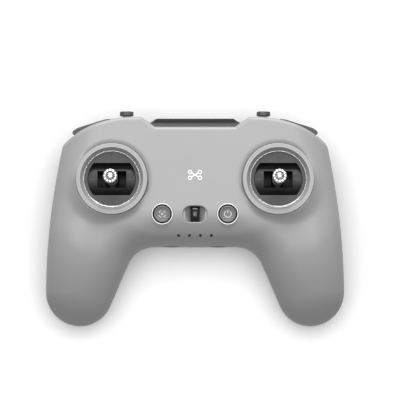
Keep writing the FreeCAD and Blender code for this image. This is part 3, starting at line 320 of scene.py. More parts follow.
def skin_points(holes):
    """Loops and loose points of a skin: outline, holes, rings round both, and a grid between them."""
    loops = [OUTLINE] + [hole(0.0) for hole, _ in holes]
    loose = [inset_points(RING_DEPTHS)]
    for hole, gaps in holes:
        loose += [np.array(hole(gap)) for gap in gaps]
    xs, ys = np.meshgrid(np.arange(-84, 84.1, GRID_STEP), np.arange(-60, 57, GRID_STEP))
    grid = np.stack([xs.ravel(), ys.ravel()], 1)
    grid = grid[within(grid, OUTLINE)]
    grid = grid[reach(grid, OUTLINE, closed=True) > RING_DEPTHS[-1] + 0.6]
    for hole, gaps in holes:
        limit = hole(gaps[-1])
        keep = ~within(grid, limit) & (reach(grid, limit, closed=True) > 0.5)
        grid = grid[keep]
    loose.append(grid)
    spots = np.vstack(loose)
    for hole, _ in holes:
        inner = hole(0.0)
        spots = spots[~within(spots, inner) & (reach(spots, inner, closed=True) > 0.02)]
    spots = spots[within(spots, OUTLINE)]
    return loops, spots


def flat_mesh(loops, spots):
    """Triangulates a region with holes. The first loop is its outside."""
    verts = [Vector(p) for loop in loops for p in loop]
    edges, start = [], 0
    for loop in loops:
        count = len(loop)
        edges += [(start + i, start + (i + 1) % count) for i in range(count)]
        start += count
    verts += [Vector(p) for p in spots]
    out = delaunay_2d_cdt(verts, edges, [], 0, 1e-5)
    found, faces = np.array([(v.x, v.y) for v in out[0]]), out[2]
    new_of = {old: new for new, olds in enumerate(out[3]) for old in olds}
    middles = np.array([found[list(f)].mean(0) for f in faces])
    keep = within(middles, loops[0])
    for loop in loops[1:]:
        keep &= ~within(middles, loop)
    rim = [new_of[i] for i in range(len(loops[0]))]
    return found, [tuple(f) for f, k in zip(faces, keep) if k], rim


def new_piece(name, verts, faces, smooth_shaded=True):
    """A mesh object from millimetre points."""
    mesh = bpy.data.meshes.new(name)
    mesh.from_pydata([(x * MM, y * MM, z * MM) for x, y, z in verts], [], faces)
    mesh.validate()
    mesh.update()
    if smooth_shaded:
        mesh.shade_smooth()
    piece = bpy.data.objects.new(name, mesh)
    bpy.context.collection.objects.link(piece)
    return piece


def bake_modifiers(piece):
    """Turns a piece's modifiers into its mesh."""
    graph = bpy.context.evaluated_depsgraph_get()
    mesh = bpy.data.meshes.new_from_object(piece.evaluated_get(graph))
    piece.modifiers.clear()
    piece.data = mesh


# Rows of the upright band: share of its height, inset and rise above the seam. The last ones round the seam's edge.
BAND_ROWS = ((0.66, 0.0, 0.0), (0.33, 0.0, 0.0), (0.0, 0.0, 0.22), (0.0, 0.12, 0.06), (0.0, 0.3, 0.0))


def skin(name, heights, holes, up, seam):
    """A housing skin: an upright band from the seam to the edge of the rounded surface, then that surface."""
    flat, faces, rim = flat_mesh(*skin_points(holes))
    verts = [(x, y, h) for (x, y), h in zip(flat, heights(flat))]
    if not up:
        faces = [f[::-1] for f in faces]
    loop = np.array(OUTLINE)
    inward = inward_of(loop)
    count, last = len(loop), rim
    floor = parting(loop[:, 1]) + seam
    for share, inset, rise in BAND_ROWS:
        start = len(verts)
        for k, (x, y) in enumerate(loop):
            top = verts[rim[k]][2]
            base = floor[k] + (rise if up else -rise)
            px, py = x + inward[k][0] * inset, y + inward[k][1] * inset
            verts.append((px, py, base + (top - base) * share))
        for k in range(count):
            a, b = last[k], last[(k + 1) % count]
            c, d = start + (k + 1) % count, start + k
            faces.append((d, c, b, a) if up else (a, b, c, d))
        last = [start + k for k in range(count)]
    return new_piece(name, verts, faces)


# ---------------------------------------------------------------- cutters for openings in the upright walls


def prism(name, outline, low, high):
    """A closed prism with an outline in XY between two heights."""
    count = len(outline)
    verts = [(x, y, low) for x, y in outline] + [(x, y, high) for x, y in outline]
    faces = [tuple(reversed(range(count))), tuple(range(count, 2 * count))]
    faces += [(i, (i + 1) % count, count + (i + 1) % count, count + i) for i in range(count)]
    return new_piece(name, verts, faces, False)


def wall_prism(name, outline, low, high):
    """A closed prism with an outline in XZ between two Y values."""
    count = len(outline)
    verts = [(x, low, z) for x, z in outline] + [(x, high, z) for x, z in outline]
    faces = [tuple(range(count)), tuple(reversed(range(count, 2 * count)))]
    faces += [(i, count + i, count + (i + 1) % count, (i + 1) % count) for i in range(count)]
    return new_piece(name, verts, faces, False)


def rounded_box(x0, z0, x1, z1, radius):
    """A rectangle with round corners, anticlockwise."""
    spots = []
    for cx, cz, start in ((x1 - radius, z0 + radius, -90), (x1 - radius, z1 - radius, 0),
                          (x0 + radius, z1 - radius, 90), (x0 + radius, z0 + radius, 180)):  # fmt: skip
        spots += arc((cx, cz), radius, math.radians(start), math.radians(start + 90), radius / 3)
    return spots


def grown(outline, distance):
    """A convex-ish outline pushed outwards."""
    loop = np.array(outline, float)
    ahead, behind = np.roll(loop, -1, axis=0), np.roll(loop, 1, axis=0)
    a = (ahead - loop) / np.linalg.norm(ahead - loop, axis=1)[:, None]
    b = (loop - behind) / np.linalg.norm(loop - behind, axis=1)[:, None]
    n = np.stack([a[:, 1], -a[:, 0]], 1) + np.stack([b[:, 1], -b[:, 0]], 1)
    n /= np.linalg.norm(n, axis=1)[:, None]
    cosine = np.maximum(0.5, (n * np.stack([a[:, 1], -a[:, 0]], 1)).sum(1))
    return [tuple(p) for p in loop + n * (distance / cosine)[:, None]]


def area_sign(outline):
    loop = np.array(outline)
    nxt = np.roll(loop, -1, axis=0)
    return np.sign((loop[:, 0] * nxt[:, 1] - nxt[:, 0] * loop[:, 1]).sum())


def cut_with(piece, cutters):
    """Cuts pieces out of a piece and removes the cutters."""
    for cutter in cutters:
        cutting = piece.modifiers.new("cut", "BOOLEAN")
        cutting.operation = "DIFFERENCE"
        cutting.solver = "EXACT"
        cutting.object = cutter
    bake_modifiers(piece)
    for cutter in cutters:
        bpy.data.objects.remove(cutter)


def turned(outline, side):
    """A shoulder key's outline when it is pressed a little past its stop."""
    angle = -side * BUMPER_CUT_ANGLE
    c, d = math.cos(angle), math.sin(angle)
    moved = [(x - side * BUMPER_HINGE[0], y - BUMPER_HINGE[1]) for x, y in outline]
    return [(side * BUMPER_HINGE[0] + c * x - d * y, BUMPER_HINGE[1] + d * x + c * y) for x, y in moved]


TOGGLE_WINDOW = (2.8, 24.4, 33.0, 1.2)
FRONT_WALL = (-18, -9)


def front_cutters():
    """The toggle windows and the slots of the shoulder keys, at rest and pressed."""
    made = []
    half, low, high, radius = TOGGLE_WINDOW
    for side in (-1, 1):
        x = side * TOGGLE[0]
        made.append(wall_prism("cut_toggle", rounded_box(x - half, low, x + half, high, radius), 50, 60))
        shape = [(side * px, py) for px, py in BUMPER_OUTLINE]
        if area_sign(shape) < 0:
            shape.reverse()
        shape = grown(shape, 0.4)
        made.append(prism("cut_bumper", shape, 25.15, 33.85))
        made.append(prism("cut_pressed_bumper", turned(shape, side), 25.16, 33.84))
    return made


def rear_cutters():
    """The stick stores' seats, the charging port, the dial's window and the sinks of the two upper screws."""
    made = [wall_prism("cut_store", circle_loop(side * STORE[0], STORE[1], STORE[2] + 0.05, 0.5), *FRONT_WALL)
            for side in (-1, 1)]  # fmt: skip
    port = rounded_box(-4.7, PORT_Z - 1.85, 4.7, PORT_Z + 1.85, 1.8)
    made.append(wall_prism("cut_port", port, *FRONT_WALL))
    made.append(prism("cut_dial", circle_loop(*DIAL_SPOT, DIAL_RADIUS + 0.5, 0.5), 11.8, 18.1))
    x, y = HOUSING_SCREWS[2]
    made += [prism("cut_screw", circle_loop(side * x, y, SCREW_SINK, 0.4), -1, 10.5) for side in (-1, 1)]
    return made


# The wall goes straight down in this width round the gimbal rings, on the raised part of the face.
COLLAR_BAND, COLLAR_LOW = 0.9, 34.0


def thicken(piece, depth):
    """Gives a skin its wall. By the gimbal rings the wall goes straight down, since the collar falls away there."""
    count = len(piece.data.vertices)
    solid = piece.modifiers.new("wall", "SOLIDIFY")
    solid.thickness = depth * MM
    solid.offset = -1
    bake_modifiers(piece)
    for i in range(count):
        spot = piece.data.vertices[i].co
        r = math.hypot(abs(spot.x) - GIMBAL[0] * MM, spot.y - GIMBAL[1] * MM)
        if spot.z > COLLAR_LOW * MM and r < (RING_OUTER + COLLAR_BAND) * MM:
            piece.data.vertices[count + i].co = spot - Vector((0, 0, depth * MM))


# Distances of the rings of points round each kind of hole, and half the gap of the seam between the shells.
GIMBAL_RINGS = (0.08, 0.18, 0.32, 0.5, 0.8, 1.2, 1.7, 2.3, 3.0, 3.8, 4.7, 5.6, 6.4)
BUTTON_RINGS = (0.06, 0.14, 0.26, 0.5, 1.0)
STRAP_RINGS = (0.06, 0.14, 0.26, 0.4, 0.55, 0.9, 1.4)
LED_RINGS = (0.05, 0.1, 0.17, 0.5, 1.0)
SCREW_RINGS = (0.08, 0.16, 0.32, 0.8)
TENSION_RINGS = (0.08, 0.22, 0.6)
SEAM = 0.09


def round_hole(x, y, radius, step, rings):
    """A hole as a loop that can be grown, with its rings of points."""
    return (lambda grow: circle_loop(x, y, radius + grow, step)), rings


def face_holes():
    holes = [round_hole(s * GIMBAL[0], GIMBAL[1], RING_OUTER + RING_GAP, 0.6, GIMBAL_RINGS) for s in (-1, 1)]
    holes += [round_hole(s * BUTTON[0], BUTTON[1], BUTTON_HOLE, 0.45, BUTTON_RINGS) for s in (-1, 1)]
    holes.append((strap_loop, STRAP_RINGS))
    return holes + [round_hole(i * LED_PITCH, LED_Y, LED_HOLE, 0.3, LED_RINGS) for i in LED_PLACES]


def back_holes():
    holes = [round_hole(s * x, y, SCREW_SINK, 0.4, SCREW_RINGS) for s in (-1, 1) for x, y in HOUSING_SCREWS[:2]]
    return holes + [
        round_hole(s * GIMBAL[0] + i, GIMBAL[1] + TENSION_Y, TENSION_HOLE, 0.4, TENSION_RINGS)
        for s in (-1, 1) for i in TENSION_X
    ]  # fmt: skip


def build_housing():
    """Both housing skins, in place of the CAD shells."""
    front = skin("front_shell_skin", face_heights, face_holes(), True, SEAM)
    thicken(front, WALL)
    cut_with(front, front_cutters())
    rear = skin("rear_shell_skin", back_heights, back_holes(), False, -SEAM)
    thicken(rear, WALL)
    cut_with(rear, rear_cutters())
    settle(front, "housing", "shell_plastic", "front_shell")
    settle(rear, "housing", "shell_plastic", "rear_shell")


# ---------------------------------------------------------------- turned pieces


def rounded_profile(corners, closed):
    """A profile of (radius, height, fillet) corners with each corner rounded."""
    count, found = len(corners), []
    for i, (r, z, fillet) in enumerate(corners):
        if not closed and i in (0, count - 1):
            found.append((r, z))
            continue
        before, after = corners[i - 1], corners[(i + 1) % count]
        spot = Vector((r, z))
        back, on = Vector(before[:2]) - spot, Vector(after[:2]) - spot
        trim = min(fillet, back.length * 0.45, on.length * 0.45)
        if trim < 1e-3:
            found.append((r, z))
            continue
        start, end = spot + back.normalized() * trim, spot + on.normalized() * trim
        for k in range(6):
            t = k / 5
            p = start * (1 - t) ** 2 + spot * 2 * t * (1 - t) + end * t**2
            found.append((p.x, p.y))
    return found


def lathe(name, corners, closed=True, segments=160, warp=None):
    """Turns a profile about Z. An open profile starts and ends on the axis. warp moves (angle, r, z) to (r, z)."""
    profile = rounded_profile(corners, closed)
    verts, faces, rows = [], [], []
    for r, z in profile:
        if r < 1e-4:
            rows.append([len(verts)])
            verts.append((0.0, 0.0, z))
            continue
        row = []
        for i in range(segments):
            angle = 2 * math.pi * i / segments
            nr, nz = warp(angle, r, z) if warp else (r, z)
            row.append(len(verts))
            verts.append((nr * math.cos(angle), nr * math.sin(angle), nz))
        rows.append(row)
    pairs = list(zip(rows, rows[1:] + rows[:1])) if closed else list(zip(rows, rows[1:]))
    for a, b in pairs:
        for i in range(segments):
            j = (i + 1) % segments
            if len(a) == 1:
                faces.append((a[0], b[j], b[i]))
            elif len(b) == 1:
                faces.append((a[i], a[j], b[0]))
            else:
                faces.append((a[i], a[j], b[j], b[i]))
    piece = new_piece(name, verts, faces)
    fix_normals(piece)
    return piece


def fix_normals(piece):
    mesh = bmesh.new()
    mesh.from_mesh(piece.data)
    bmesh.ops.recalc_face_normals(mesh, faces=mesh.faces)
    mesh.to_mesh(piece.data)
    mesh.free()


def place(piece, x, y, z, tilt=0.0):
    """Moves a piece's mesh, so that its object stays at the origin."""
    turn = Matrix.Rotation(tilt, 4, "X")
    piece.data.transform(Matrix.Translation(Vector((x, y, z)) * MM) @ turn)
    return piece


def settle(piece, body, slot, *nodes):
    """Gives a piece its body, its material and the CAD nodes it stands for."""
    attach(piece, body)
    if nodes:
        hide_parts(*nodes)
    piece.data.materials.clear()
    piece.data.materials.append(MATERIALS[slot])
    return piece


# ---------------------------------------------------------------- materials


class Nodes:
    """A short way to add and join shader nodes."""

    def __init__(self, name):
        self.material = bpy.data.materials.new(name)
        self.material.use_nodes = True
        self.tree = self.material.node_tree
        self.tree.nodes.clear()
        self.output = self.add("ShaderNodeOutputMaterial")
        self.shader = self.add("ShaderNodeBsdfPrincipled")
        self.join(self.shader, "BSDF", self.output, "Surface")
        self.place = self.add("ShaderNodeTexCoord")

    def add(self, kind, **values):
        node = self.tree.nodes.new(kind)
        for key, number in values.items():
            if hasattr(node, key):
                setattr(node, key, number)
            else:
                node.inputs[key.replace("_", " ")].default_value = number
        return node

    def join(self, a, out, b, into):
        self.tree.links.new(a.outputs[out], b.inputs[into])

    def noise(self, scale, detail=3.0, rough=0.5, stretch=(1, 1, 1)):
        mapping = self.add("ShaderNodeMapping")
        mapping.inputs["Scale"].default_value = stretch
        self.join(self.place, "Object", mapping, "Vector")
        made = self.add("ShaderNodeTexNoise", Scale=scale, Detail=detail, Roughness=rough)
        self.join(mapping, "Vector", made, "Vector")
        return made

    def ramp(self, source, out, low, high, start=0.3, end=0.7):
        made = self.add("ShaderNodeMapRange")
        made.inputs["From Min"].default_value = start
        made.inputs["From Max"].default_value = end
        made.inputs["To Min"].default_value = low
        made.inputs["To Max"].default_value = high
        self.join(source, out, made, "Value")
        return made

    def blend(self, factor, out, low, high):
        made = self.add("ShaderNodeMix", data_type="RGBA")
        made.inputs[6].default_value = (*low, 1)
        made.inputs[7].default_value = (*high, 1)
        self.join(factor, out, made, "Factor")
        return made

    def bump(self, source, out, height_mm, strength=1.0):
        made = self.add("ShaderNodeBump", Strength=strength)
        made.inputs["Distance"].default_value = height_mm * MM
        self.join(source, out, made, "Height")
        self.join(made, "Normal", self.shader, "Normal")
        return made


def moulded(name, colour, rough, grain_mm=0.35, grain_height=0.02, variation=0.04):
    """Moulded plastic: a spark-eroded grain, slight flow mottling and uneven gloss."""
    n = Nodes(name)
    grain = n.noise(1000 / grain_mm, 4.0, 0.6)
    flow = n.noise(28.0, 4.0, 0.55)
    tone = n.ramp(flow, "Fac", 0.0, 1.0)
    mix = n.blend(tone, "Result", [c * (1 - variation) for c in colour], [c * (1 + variation) for c in colour])
    n.join(mix, 2, n.shader, "Base Color")
    gloss = n.ramp(grain, "Fac", rough - 0.05, rough + 0.06)
    n.join(gloss, "Result", n.shader, "Roughness")
    n.bump(grain, "Fac", grain_height, 0.5)
    n.shader.inputs["IOR"].default_value = 1.46
    return n.material


def machined(name, colour, rough, brush=(1, 1, 1), scale=900.0):
    """Metal with fine tool marks."""
    n = Nodes(name)
    marks = n.noise(scale, 3.0, 0.5, brush)
    mix = n.blend(marks, "Fac", [c * 0.93 for c in colour], [min(1.0, c * 1.05) for c in colour])
    n.join(mix, 2, n.shader, "Base Color")
    gloss = n.ramp(marks, "Fac", max(0.04, rough - 0.06), rough + 0.08)
    n.join(gloss, "Result", n.shader, "Roughness")
    n.bump(marks, "Fac", 0.004, 0.35)
    n.shader.inputs["Metallic"].default_value = 1.0
    return n.material


def circuit(name):
    """Green solder mask over traces."""
    n = Nodes(name)
    mapping = n.add("ShaderNodeMapping")
    n.join(n.place, "Object", mapping, "Vector")
    traces = n.add("ShaderNodeTexBrick", Scale=260.0)
    traces.inputs["Mortar Size"].default_value = 0.03
    traces.inputs["Color1"].default_value = (0.012, 0.10, 0.035, 1)
    traces.inputs["Color2"].default_value = (0.016, 0.13, 0.045, 1)
    traces.inputs["Mortar"].default_value = (0.03, 0.22, 0.08, 1)
    n.join(mapping, "Vector", traces, "Vector")
    n.join(traces, "Color", n.shader, "Base Color")
    mask = n.noise(400.0)
    gloss = n.ramp(mask, "Fac", 0.25, 0.4)
    n.join(gloss, "Result", n.shader, "Roughness")
    n.bump(traces, "Fac", 0.02, 0.4)
    return n.material


MATERIALS = {
    "shell_plastic": moulded("shell_plastic", (0.255, 0.255, 0.255), 0.40, 0.4, 0.012, 0.02),
    "ring_plastic": moulded("ring_plastic", (0.275, 0.275, 0.275), 0.38, 0.3, 0.008, 0.02),
    "trim_metal": machined("trim_metal", (0.80, 0.80, 0.80), 0.34),
    "plate_plastic": moulded("plate_plastic", (0.032, 0.032, 0.032), 0.5, 0.3, 0.015, 0.06),
    "drum_plastic": moulded("drum_plastic", (0.009, 0.009, 0.009), 0.5, 0.3, 0.012, 0.08),
    "frame_plastic": moulded("frame_plastic", (0.006, 0.006, 0.006), 0.6, 0.4, 0.02, 0.08),
    "stick_metal": machined("stick_metal", (0.62, 0.62, 0.63), 0.32),
    "magnet": machined("magnet", (0.62, 0.61, 0.60), 0.2),
    "toggle_plastic": moulded("toggle_plastic", (0.06, 0.06, 0.06), 0.3, 0.3, 0.012, 0.05),
    "dark_plastic": moulded("dark_plastic", (0.03, 0.03, 0.031), 0.45, 0.35, 0.02, 0.05),
    "part_plastic": moulded("part_plastic", (0.012, 0.012, 0.013), 0.5, 0.4, 0.02, 0.08),
    "button_plastic": moulded("button_plastic", (0.12, 0.12, 0.12), 0.42, 0.25, 0.008, 0.03),
    # cup_plastic is much lighter than the shell plastic it matches: painted light that offsets the shade deep in the
    # strap trough.
    "cup_plastic": moulded("cup_plastic", (0.46, 0.46, 0.46), 0.4, 0.3, 0.012, 0.03),
    "bar_plastic": moulded("bar_plastic", (0.008, 0.008, 0.008), 0.16, 0.3, 0.004, 0.1),
    "lamp_plastic": moulded("lamp_plastic", (0.003, 0.003, 0.003), 0.8, 0.3, 0.002, 0.05),
    "circuit_board": circuit("circuit_board"),
    "plated_steel": machined("plated_steel", (0.66, 0.65, 0.63), 0.25),
    "screw_steel": machined("screw_steel", (0.20, 0.20, 0.21), 0.35),
    "bearing_brass": machined("bearing_brass", (0.78, 0.58, 0.25), 0.25),
    "battery_wrap": moulded("battery_wrap", (0.05, 0.07, 0.16), 0.3, 0.5, 0.01, 0.08),
    "mark_white": moulded("mark_white", (0.90, 0.90, 0.90), 0.5, 0.3, 0.004, 0.02),
    "mark_dark": moulded("mark_dark", (0.02, 0.02, 0.02), 0.5, 0.3, 0.004, 0.05),
    "stick_black": moulded("stick_black", (0.006, 0.006, 0.006), 0.6, 0.3, 0.004, 0.1),
    "mark_grey": moulded("mark_grey", (0.06, 0.06, 0.06), 0.4, 0.3, 0.004, 0.05),
    # ring_bevel: darker than ring_plastic, painted shade on the rings' steep inner chamfer.
    "ring_bevel": moulded("ring_bevel", (0.21, 0.21, 0.21), 0.32, 0.3, 0.006, 0.02),
    "ring_bright": moulded("ring_bright", (0.75, 0.75, 0.75), 0.3, 0.3, 0.002, 0.02),
    # antenna_strip: far darker than the cover's own plastic, painted shade on the cover's steep outer slope.
    "antenna_strip": moulded("antenna_strip", (0.006, 0.006, 0.006), 0.75, 0.35, 0.02, 0.05),
    "icon_grey": moulded("icon_grey", (0.5, 0.5, 0.5), 0.5, 0.3, 0.004, 0.03),
}


# Widths of the softened edges of CAD nodes, in millimetres. The left and right ones share a name here.
PLAIN_BEVEL = 0.12
BEVELS = {
    "gimbal_frame": 0.4,
    "drum": 0.25,
    "gimbal_plate": 0.15,
    "bumper": 0.5,
    "antenna_cover": 0.6,
    "battery": 1.2,
    "main_board": 0.1,
    "rf_shield": 0.3,
    "dial": 0.25,
}


def dress_nodes():
    """Every CAD node gets its slot's material and softened edges."""
    for name, node in NODES.items():
        for slot in node.material_slots:
            slot.link = "OBJECT"
            slot.material = MATERIALS[SLOT_OF[name]]
        soften(node, BEVELS.get(name.replace("left_", "").replace("right_", ""), PLAIN_BEVEL))


def soften(node, width_mm):
    """Rounds the sharp edges."""
    edge = node.modifiers.new("edge", "BEVEL")
    edge.width = width_mm * MM
    edge.segments = 3
    edge.limit_method = "ANGLE"
    edge.angle_limit = math.radians(40)
    edge.harden_normals = True


# ---------------------------------------------------------------- gimbals


def gimbal_details(word):
    """Ring, trim, stick and index marks of one gimbal."""
    side = SIDES[word]
    x, y = side * GIMBAL[0], GIMBAL[1]
    ring = [(15.2, 33.9, 0.1), (20.3, 33.9, 0.1), (20.3, 35.4, 0.1)]
    ring += [(RING_OUTER, 35.4, 0.05), (RING_OUTER, 40.6, 0.4)]
    ring += [(18.6, 40.6, 0.04), (18.5, 40.53, 0.04), (18.4, 40.6, 0.04)]
    ring += [(17.35, 40.6, 0.3), (17.25, 40.1, 0.1), (17.0, 36.8, 0.05), (15.2, 36.8, 0.05)]
    made = place(lathe(f"{word}_ring", ring, segments=224), x, y, 0)
    settle(made, "housing", "ring_plastic", f"{word}_gimbal_ring")
    # The inner chamfer is a separate piece in a darker grey than the ring: painted shade for its steep slope.
    bevel = [(16.96, 36.9, 0.02), (17.2, 40.15, 0.05), (16.45, 39.55, 0.12), (16.4, 39.3, 0.06)]
    bevel += [(15.78, 38.75, 0.1), (15.78, 36.9, 0.02)]
    made = place(lathe(f"{word}_ring_bevel", bevel, segments=224), x, y, 0)
    settle(made, "housing", "ring_bevel")
    trim = [(14.85, 37.9, 0.03), (15.72, 37.9, 0.03), (15.72, 38.75, 0.2), (15.5, 38.9, 0.12), (14.85, 38.35, 0.3)]
    made = place(lathe(f"{word}_trim", trim, segments=224), x, y, 0)
    settle(made, "housing", "trim_metal", f"{word}_trim_ring")
    stick(word, x, y)
    index_marks(word, x, y)


CROWN_TEETH, TOOTH_SHARE, TOOTH_DEPTH = 12, 0.66, 1.7
KNURLS, KNURL_SLOPE = 30, 4.2
LOCK_RIBS = 36


def crown_shape(angle, r, z):
    """Cuts the crown's rim into teeth and crosses its skirt with knurls."""
    tooth = abs(((angle / (2 * math.pi) * CROWN_TEETH + 0.5) % 1.0) - 0.5) * 2
    if z > 58.9 and r > 2.2:
        cut = max(0.0, (tooth - TOOTH_SHARE) / (1 - TOOTH_SHARE))
        z -= cut * TOOTH_DEPTH * min(1.0, (r - 2.2) / 0.25)
        if r > 3.3:
            r -= cut * 0.35 * min(1.0, (r - 3.3) / 0.4)
    if 52.6 < z < 57.0 and r > 3.2:
        a = math.sin(angle * KNURLS + (z - 52) * KNURL_SLOPE)
        b = math.sin(angle * KNURLS - (z - 52) * KNURL_SLOPE)
        r += 0.11 * max(a, b) - 0.06
    return r, z


def lock_shape(angle, r, z):
    """Cuts ribs into the lock ring's rim."""
    return r - 0.12 * (r > 3.2) * (math.sin(angle * LOCK_RIBS) > 0), z


def stick(word, x, y):
    """A knurled crown with a toothed rim round a raised button, its ribbed lock ring and the threaded shaft."""
    body = [(0, 58.0, 0), (2.0, 58.0, 0.02), (2.0, 51.5, 0.02), (2.8, 51.5, 0.15), (3.3, 52.2, 0.2)]
    body += [(3.4, 52.4 + 0.25 * i, 0.02) for i in range(17)]
    body += [(3.4, 56.7, 0.2), (3.85, 57.3, 0.2), (3.85, 59.6, 0.02), (3.85, 60.3, 0.02), (3.85, 61.5, 0.3)]
    body += [(3.4, 62.0, 0.2), (3.0, 62.0, 0.02), (2.6, 61.95, 0.02), (2.45, 61.8, 0.05), (1.95, 60.0, 0.05)]
    body += [(1.55, 61.3, 0.1), (0.9, 61.55, 0.3), (0, 61.6, 0)]
    made = place(lathe(f"{word}_crown", body, closed=False, segments=288, warp=crown_shape), x, y, 0)
    settle(made, f"{word}_roll", "stick_metal", f"{word}_stick_crown")
    lock = [(2.03, 48.7, 0.03), (3.0, 48.7, 0.2), (3.35, 49.1, 0.1)]
    lock += [(3.35, 51.0, 0.1), (3.0, 51.45, 0.2), (2.03, 51.45, 0.03)]
    ribbed = lathe(f"{word}_lock", lock, segments=216, warp=lock_shape)
    settle(place(ribbed, x, y, 0), f"{word}_roll", "stick_black", f"{word}_stick_lock")
    rod = [(0, 27.0, 0), (2.0, 27.0, 0.15)] + [(2.0 - 0.08 * (i % 2), 44.0 + 0.2 * i, 0.02) for i in range(24)]
    made = lathe(f"{word}_shaft", rod + [(2.0, 58.0, 0.2), (0, 58.0, 0)], closed=False, segments=64)
    settle(place(made, x, y, 0), f"{word}_roll", "stick_black", f"{word}_stick_shaft")


def bar(name, x0, y0, x1, y1, low, high):
    """A small block with softened edges."""
    piece = prism(name, [(x0, y0), (x1, y0), (x1, y1), (x0, y1)], low, high)
    soften(piece, min(0.06, (x1 - x0) * 0.3, (y1 - y0) * 0.3))
    return piece


def index_marks(word, x, y):
    """Fine crossed index lines: above and below the stick on the cover plate, left and right of it on the drum."""
    for i, (low, high) in enumerate(((9.6, 13.9), (-13.9, -9.6))):
        middle = (low + high) / 2
        strokes = [(-0.1, low, 0.1, high), (-1.2, middle - 0.08, 1.2, middle + 0.08)]
        for j, (x0, y0, x1, y1) in enumerate(strokes):
            mark = bar(f"{word}_plate_mark_{i}_{j}", x + x0, y + y0, x + x1, y + y1, 37.86, 37.93)
            settle(mark, "housing", "mark_dark")
    for i, (low, high) in enumerate(((8.6, 12.2), (-12.2, -8.6))):
        middle = (low + high) / 2
        strokes = [(low, -0.1, high, 0.1), (middle - 0.08, -1.1, middle + 0.08, 1.1)]
        for j, (x0, y0, x1, y1) in enumerate(strokes):
            mark = bar(f"{word}_drum_mark_{i}_{j}", x + x0, y + y0, x + x1, y + y1, 36.3, 36.43)
            settle(mark, f"{word}_pitch", "mark_grey")


# ---------------------------------------------------------------- face controls


def on_button(piece, side):
    """Puts a piece made round the origin on a face button."""
    turn = Matrix.Rotation(BUTTON_TILT, 4, "X")
    spot = Vector((side * BUTTON[0], BUTTON[1], BUTTON[2])) * MM
    piece.data.transform(Matrix.Translation(spot) @ turn)
    return piece


ICON_INNER, ICON_OUTER = 1.62, 2.08
ICON_LOW, ICON_HIGH = 0.1, 0.30


def ring_sector(name, start, end):
    """Part of a flat ring, for a raised icon."""
    outline = arc((0, 0), ICON_OUTER, start, end, 0.08) + arc((0, 0), ICON_INNER, end, start, 0.08)
    return prism(name, outline, ICON_LOW, ICON_HIGH)


def face_buttons():
    """Caps with a dished top, bright rings and plain icons."""
    ring = [(5.35, -2.6, 0.03), (5.9, -2.6, 0.03), (5.9, 0.32, 0.18), (5.45, 0.36, 0.12), (5.35, 0.1, 0.08)]
    cap = [(0, -9.0, 0), (1.6, -9.0, 0.1), (1.6, -2.4, 0.2), (4.55, -2.4, 0.1), (4.55, 0.5, 0.35)]
    cap += [(3.9, 0.52, 0.3), (3.55, 0.34, 0.3), (1.8, 0.2, 0.5), (0, 0.17, 0)]
    for name, side in (("custom", -1), ("power", 1)):
        made = on_button(lathe(f"{name}_ring_piece", ring, segments=128), side)
        settle(made, "housing", "trim_metal", f"{name}_button_ring")
        made.data.materials[0] = MATERIALS["ring_bright"]
        made = on_button(lathe(f"{name}_cap", cap, closed=False, segments=128), side)
        settle(made, f"{name}_key", "button_plastic", f"{name}_button")
    gap = math.radians(32)
    power = ring_sector("power_icon_ring", math.pi / 2 + gap, math.pi / 2 + 2 * math.pi - gap)
    settle(on_button(power, 1), "power_key", "icon_grey")
    stem = prism("power_icon_stem", [(-0.22, 0.3), (0.22, 0.3), (0.22, 2.4), (-0.22, 2.4)], ICON_LOW, ICON_HIGH)
    settle(on_button(stem, 1), "power_key", "icon_grey")
    for i, start in enumerate((20, 110, 200, 290)):
        stroke = ring_sector(f"custom_icon_{i}", math.radians(start), math.radians(start + 50))
        settle(on_button(stroke, -1), "custom_key", "icon_grey")
    centre = prism("custom_icon_dot", circle_loop(0, 0, 0.62, 0.1), ICON_LOW, 0.27)
    settle(on_button(centre, -1), "custom_key", "icon_grey")


EMBLEM_LOW = 37.94


def emblem():
    """A plain pictogram of a four-rotor craft, printed on the face."""
    spots = [(-2.7, 22.4), (2.7, 22.4), (-2.7, 25.6), (2.7, 25.6)]
    for i, (x, y) in enumerate(spots):
        outer, inner = circle_loop(x, y, 1.15, 0.12), circle_loop(x, y, 0.72, 0.12)
        settle(flat_ring(f"emblem_rotor_{i}", outer, inner, EMBLEM_LOW, 38.012), "housing", "mark_white")
    for i, turn in enumerate((1, -1)):
        slope = math.atan2(3.2, 5.4) * turn
        dx, dy = math.cos(slope), math.sin(slope)
        arm = [(-1.95 * dx + 0.22 * dy, -1.95 * dy - 0.22 * dx), (1.95 * dx + 0.22 * dy, 1.95 * dy - 0.22 * dx)]
        arm += [(1.95 * dx - 0.22 * dy, 1.95 * dy + 0.22 * dx), (-1.95 * dx - 0.22 * dy, -1.95 * dy + 0.22 * dx)]
        mark = prism(f"emblem_arm_{i}", [(x, 24.0 + y) for x, y in arm], EMBLEM_LOW, 38.01 - 0.002 * i)
        settle(mark, "housing", "mark_white")


def strap_bar():
    """The glossy bar over the strap trough, arched along and across."""
    sections = [(-4.42, 2.45, 1.1)] + [(-4.35 + 0.29 * i, 2.6, 1.3) for i in range(31)] + [(4.42, 2.45, 1.1)]
    made = barrel("strap_bar_arch", sections, power=3.4)
    for vertex in made.data.vertices:
        x, y = vertex.co.x / MM, vertex.co.y / MM
        vertex.co.z -= (y * y / 15.0 + x * x / 17.0) * MM
    settle(place(made, STRAP[0], STRAP[1], 36.2), "housing", "bar_plastic", "strap_bar")


def antenna_strip():
    """A strip of darker, rougher plastic over the antenna cover's steep outer slope: painted shade on that slope."""
    outline = [(-24.6, 53.5), (24.6, 53.5), (21.4, 55.75), (-21.4, 55.75)]
    made = prism("antenna_strip", outline, 22.5, 33.0)
    soften(made, 0.5)
    settle(made, "housing", "antenna_strip")


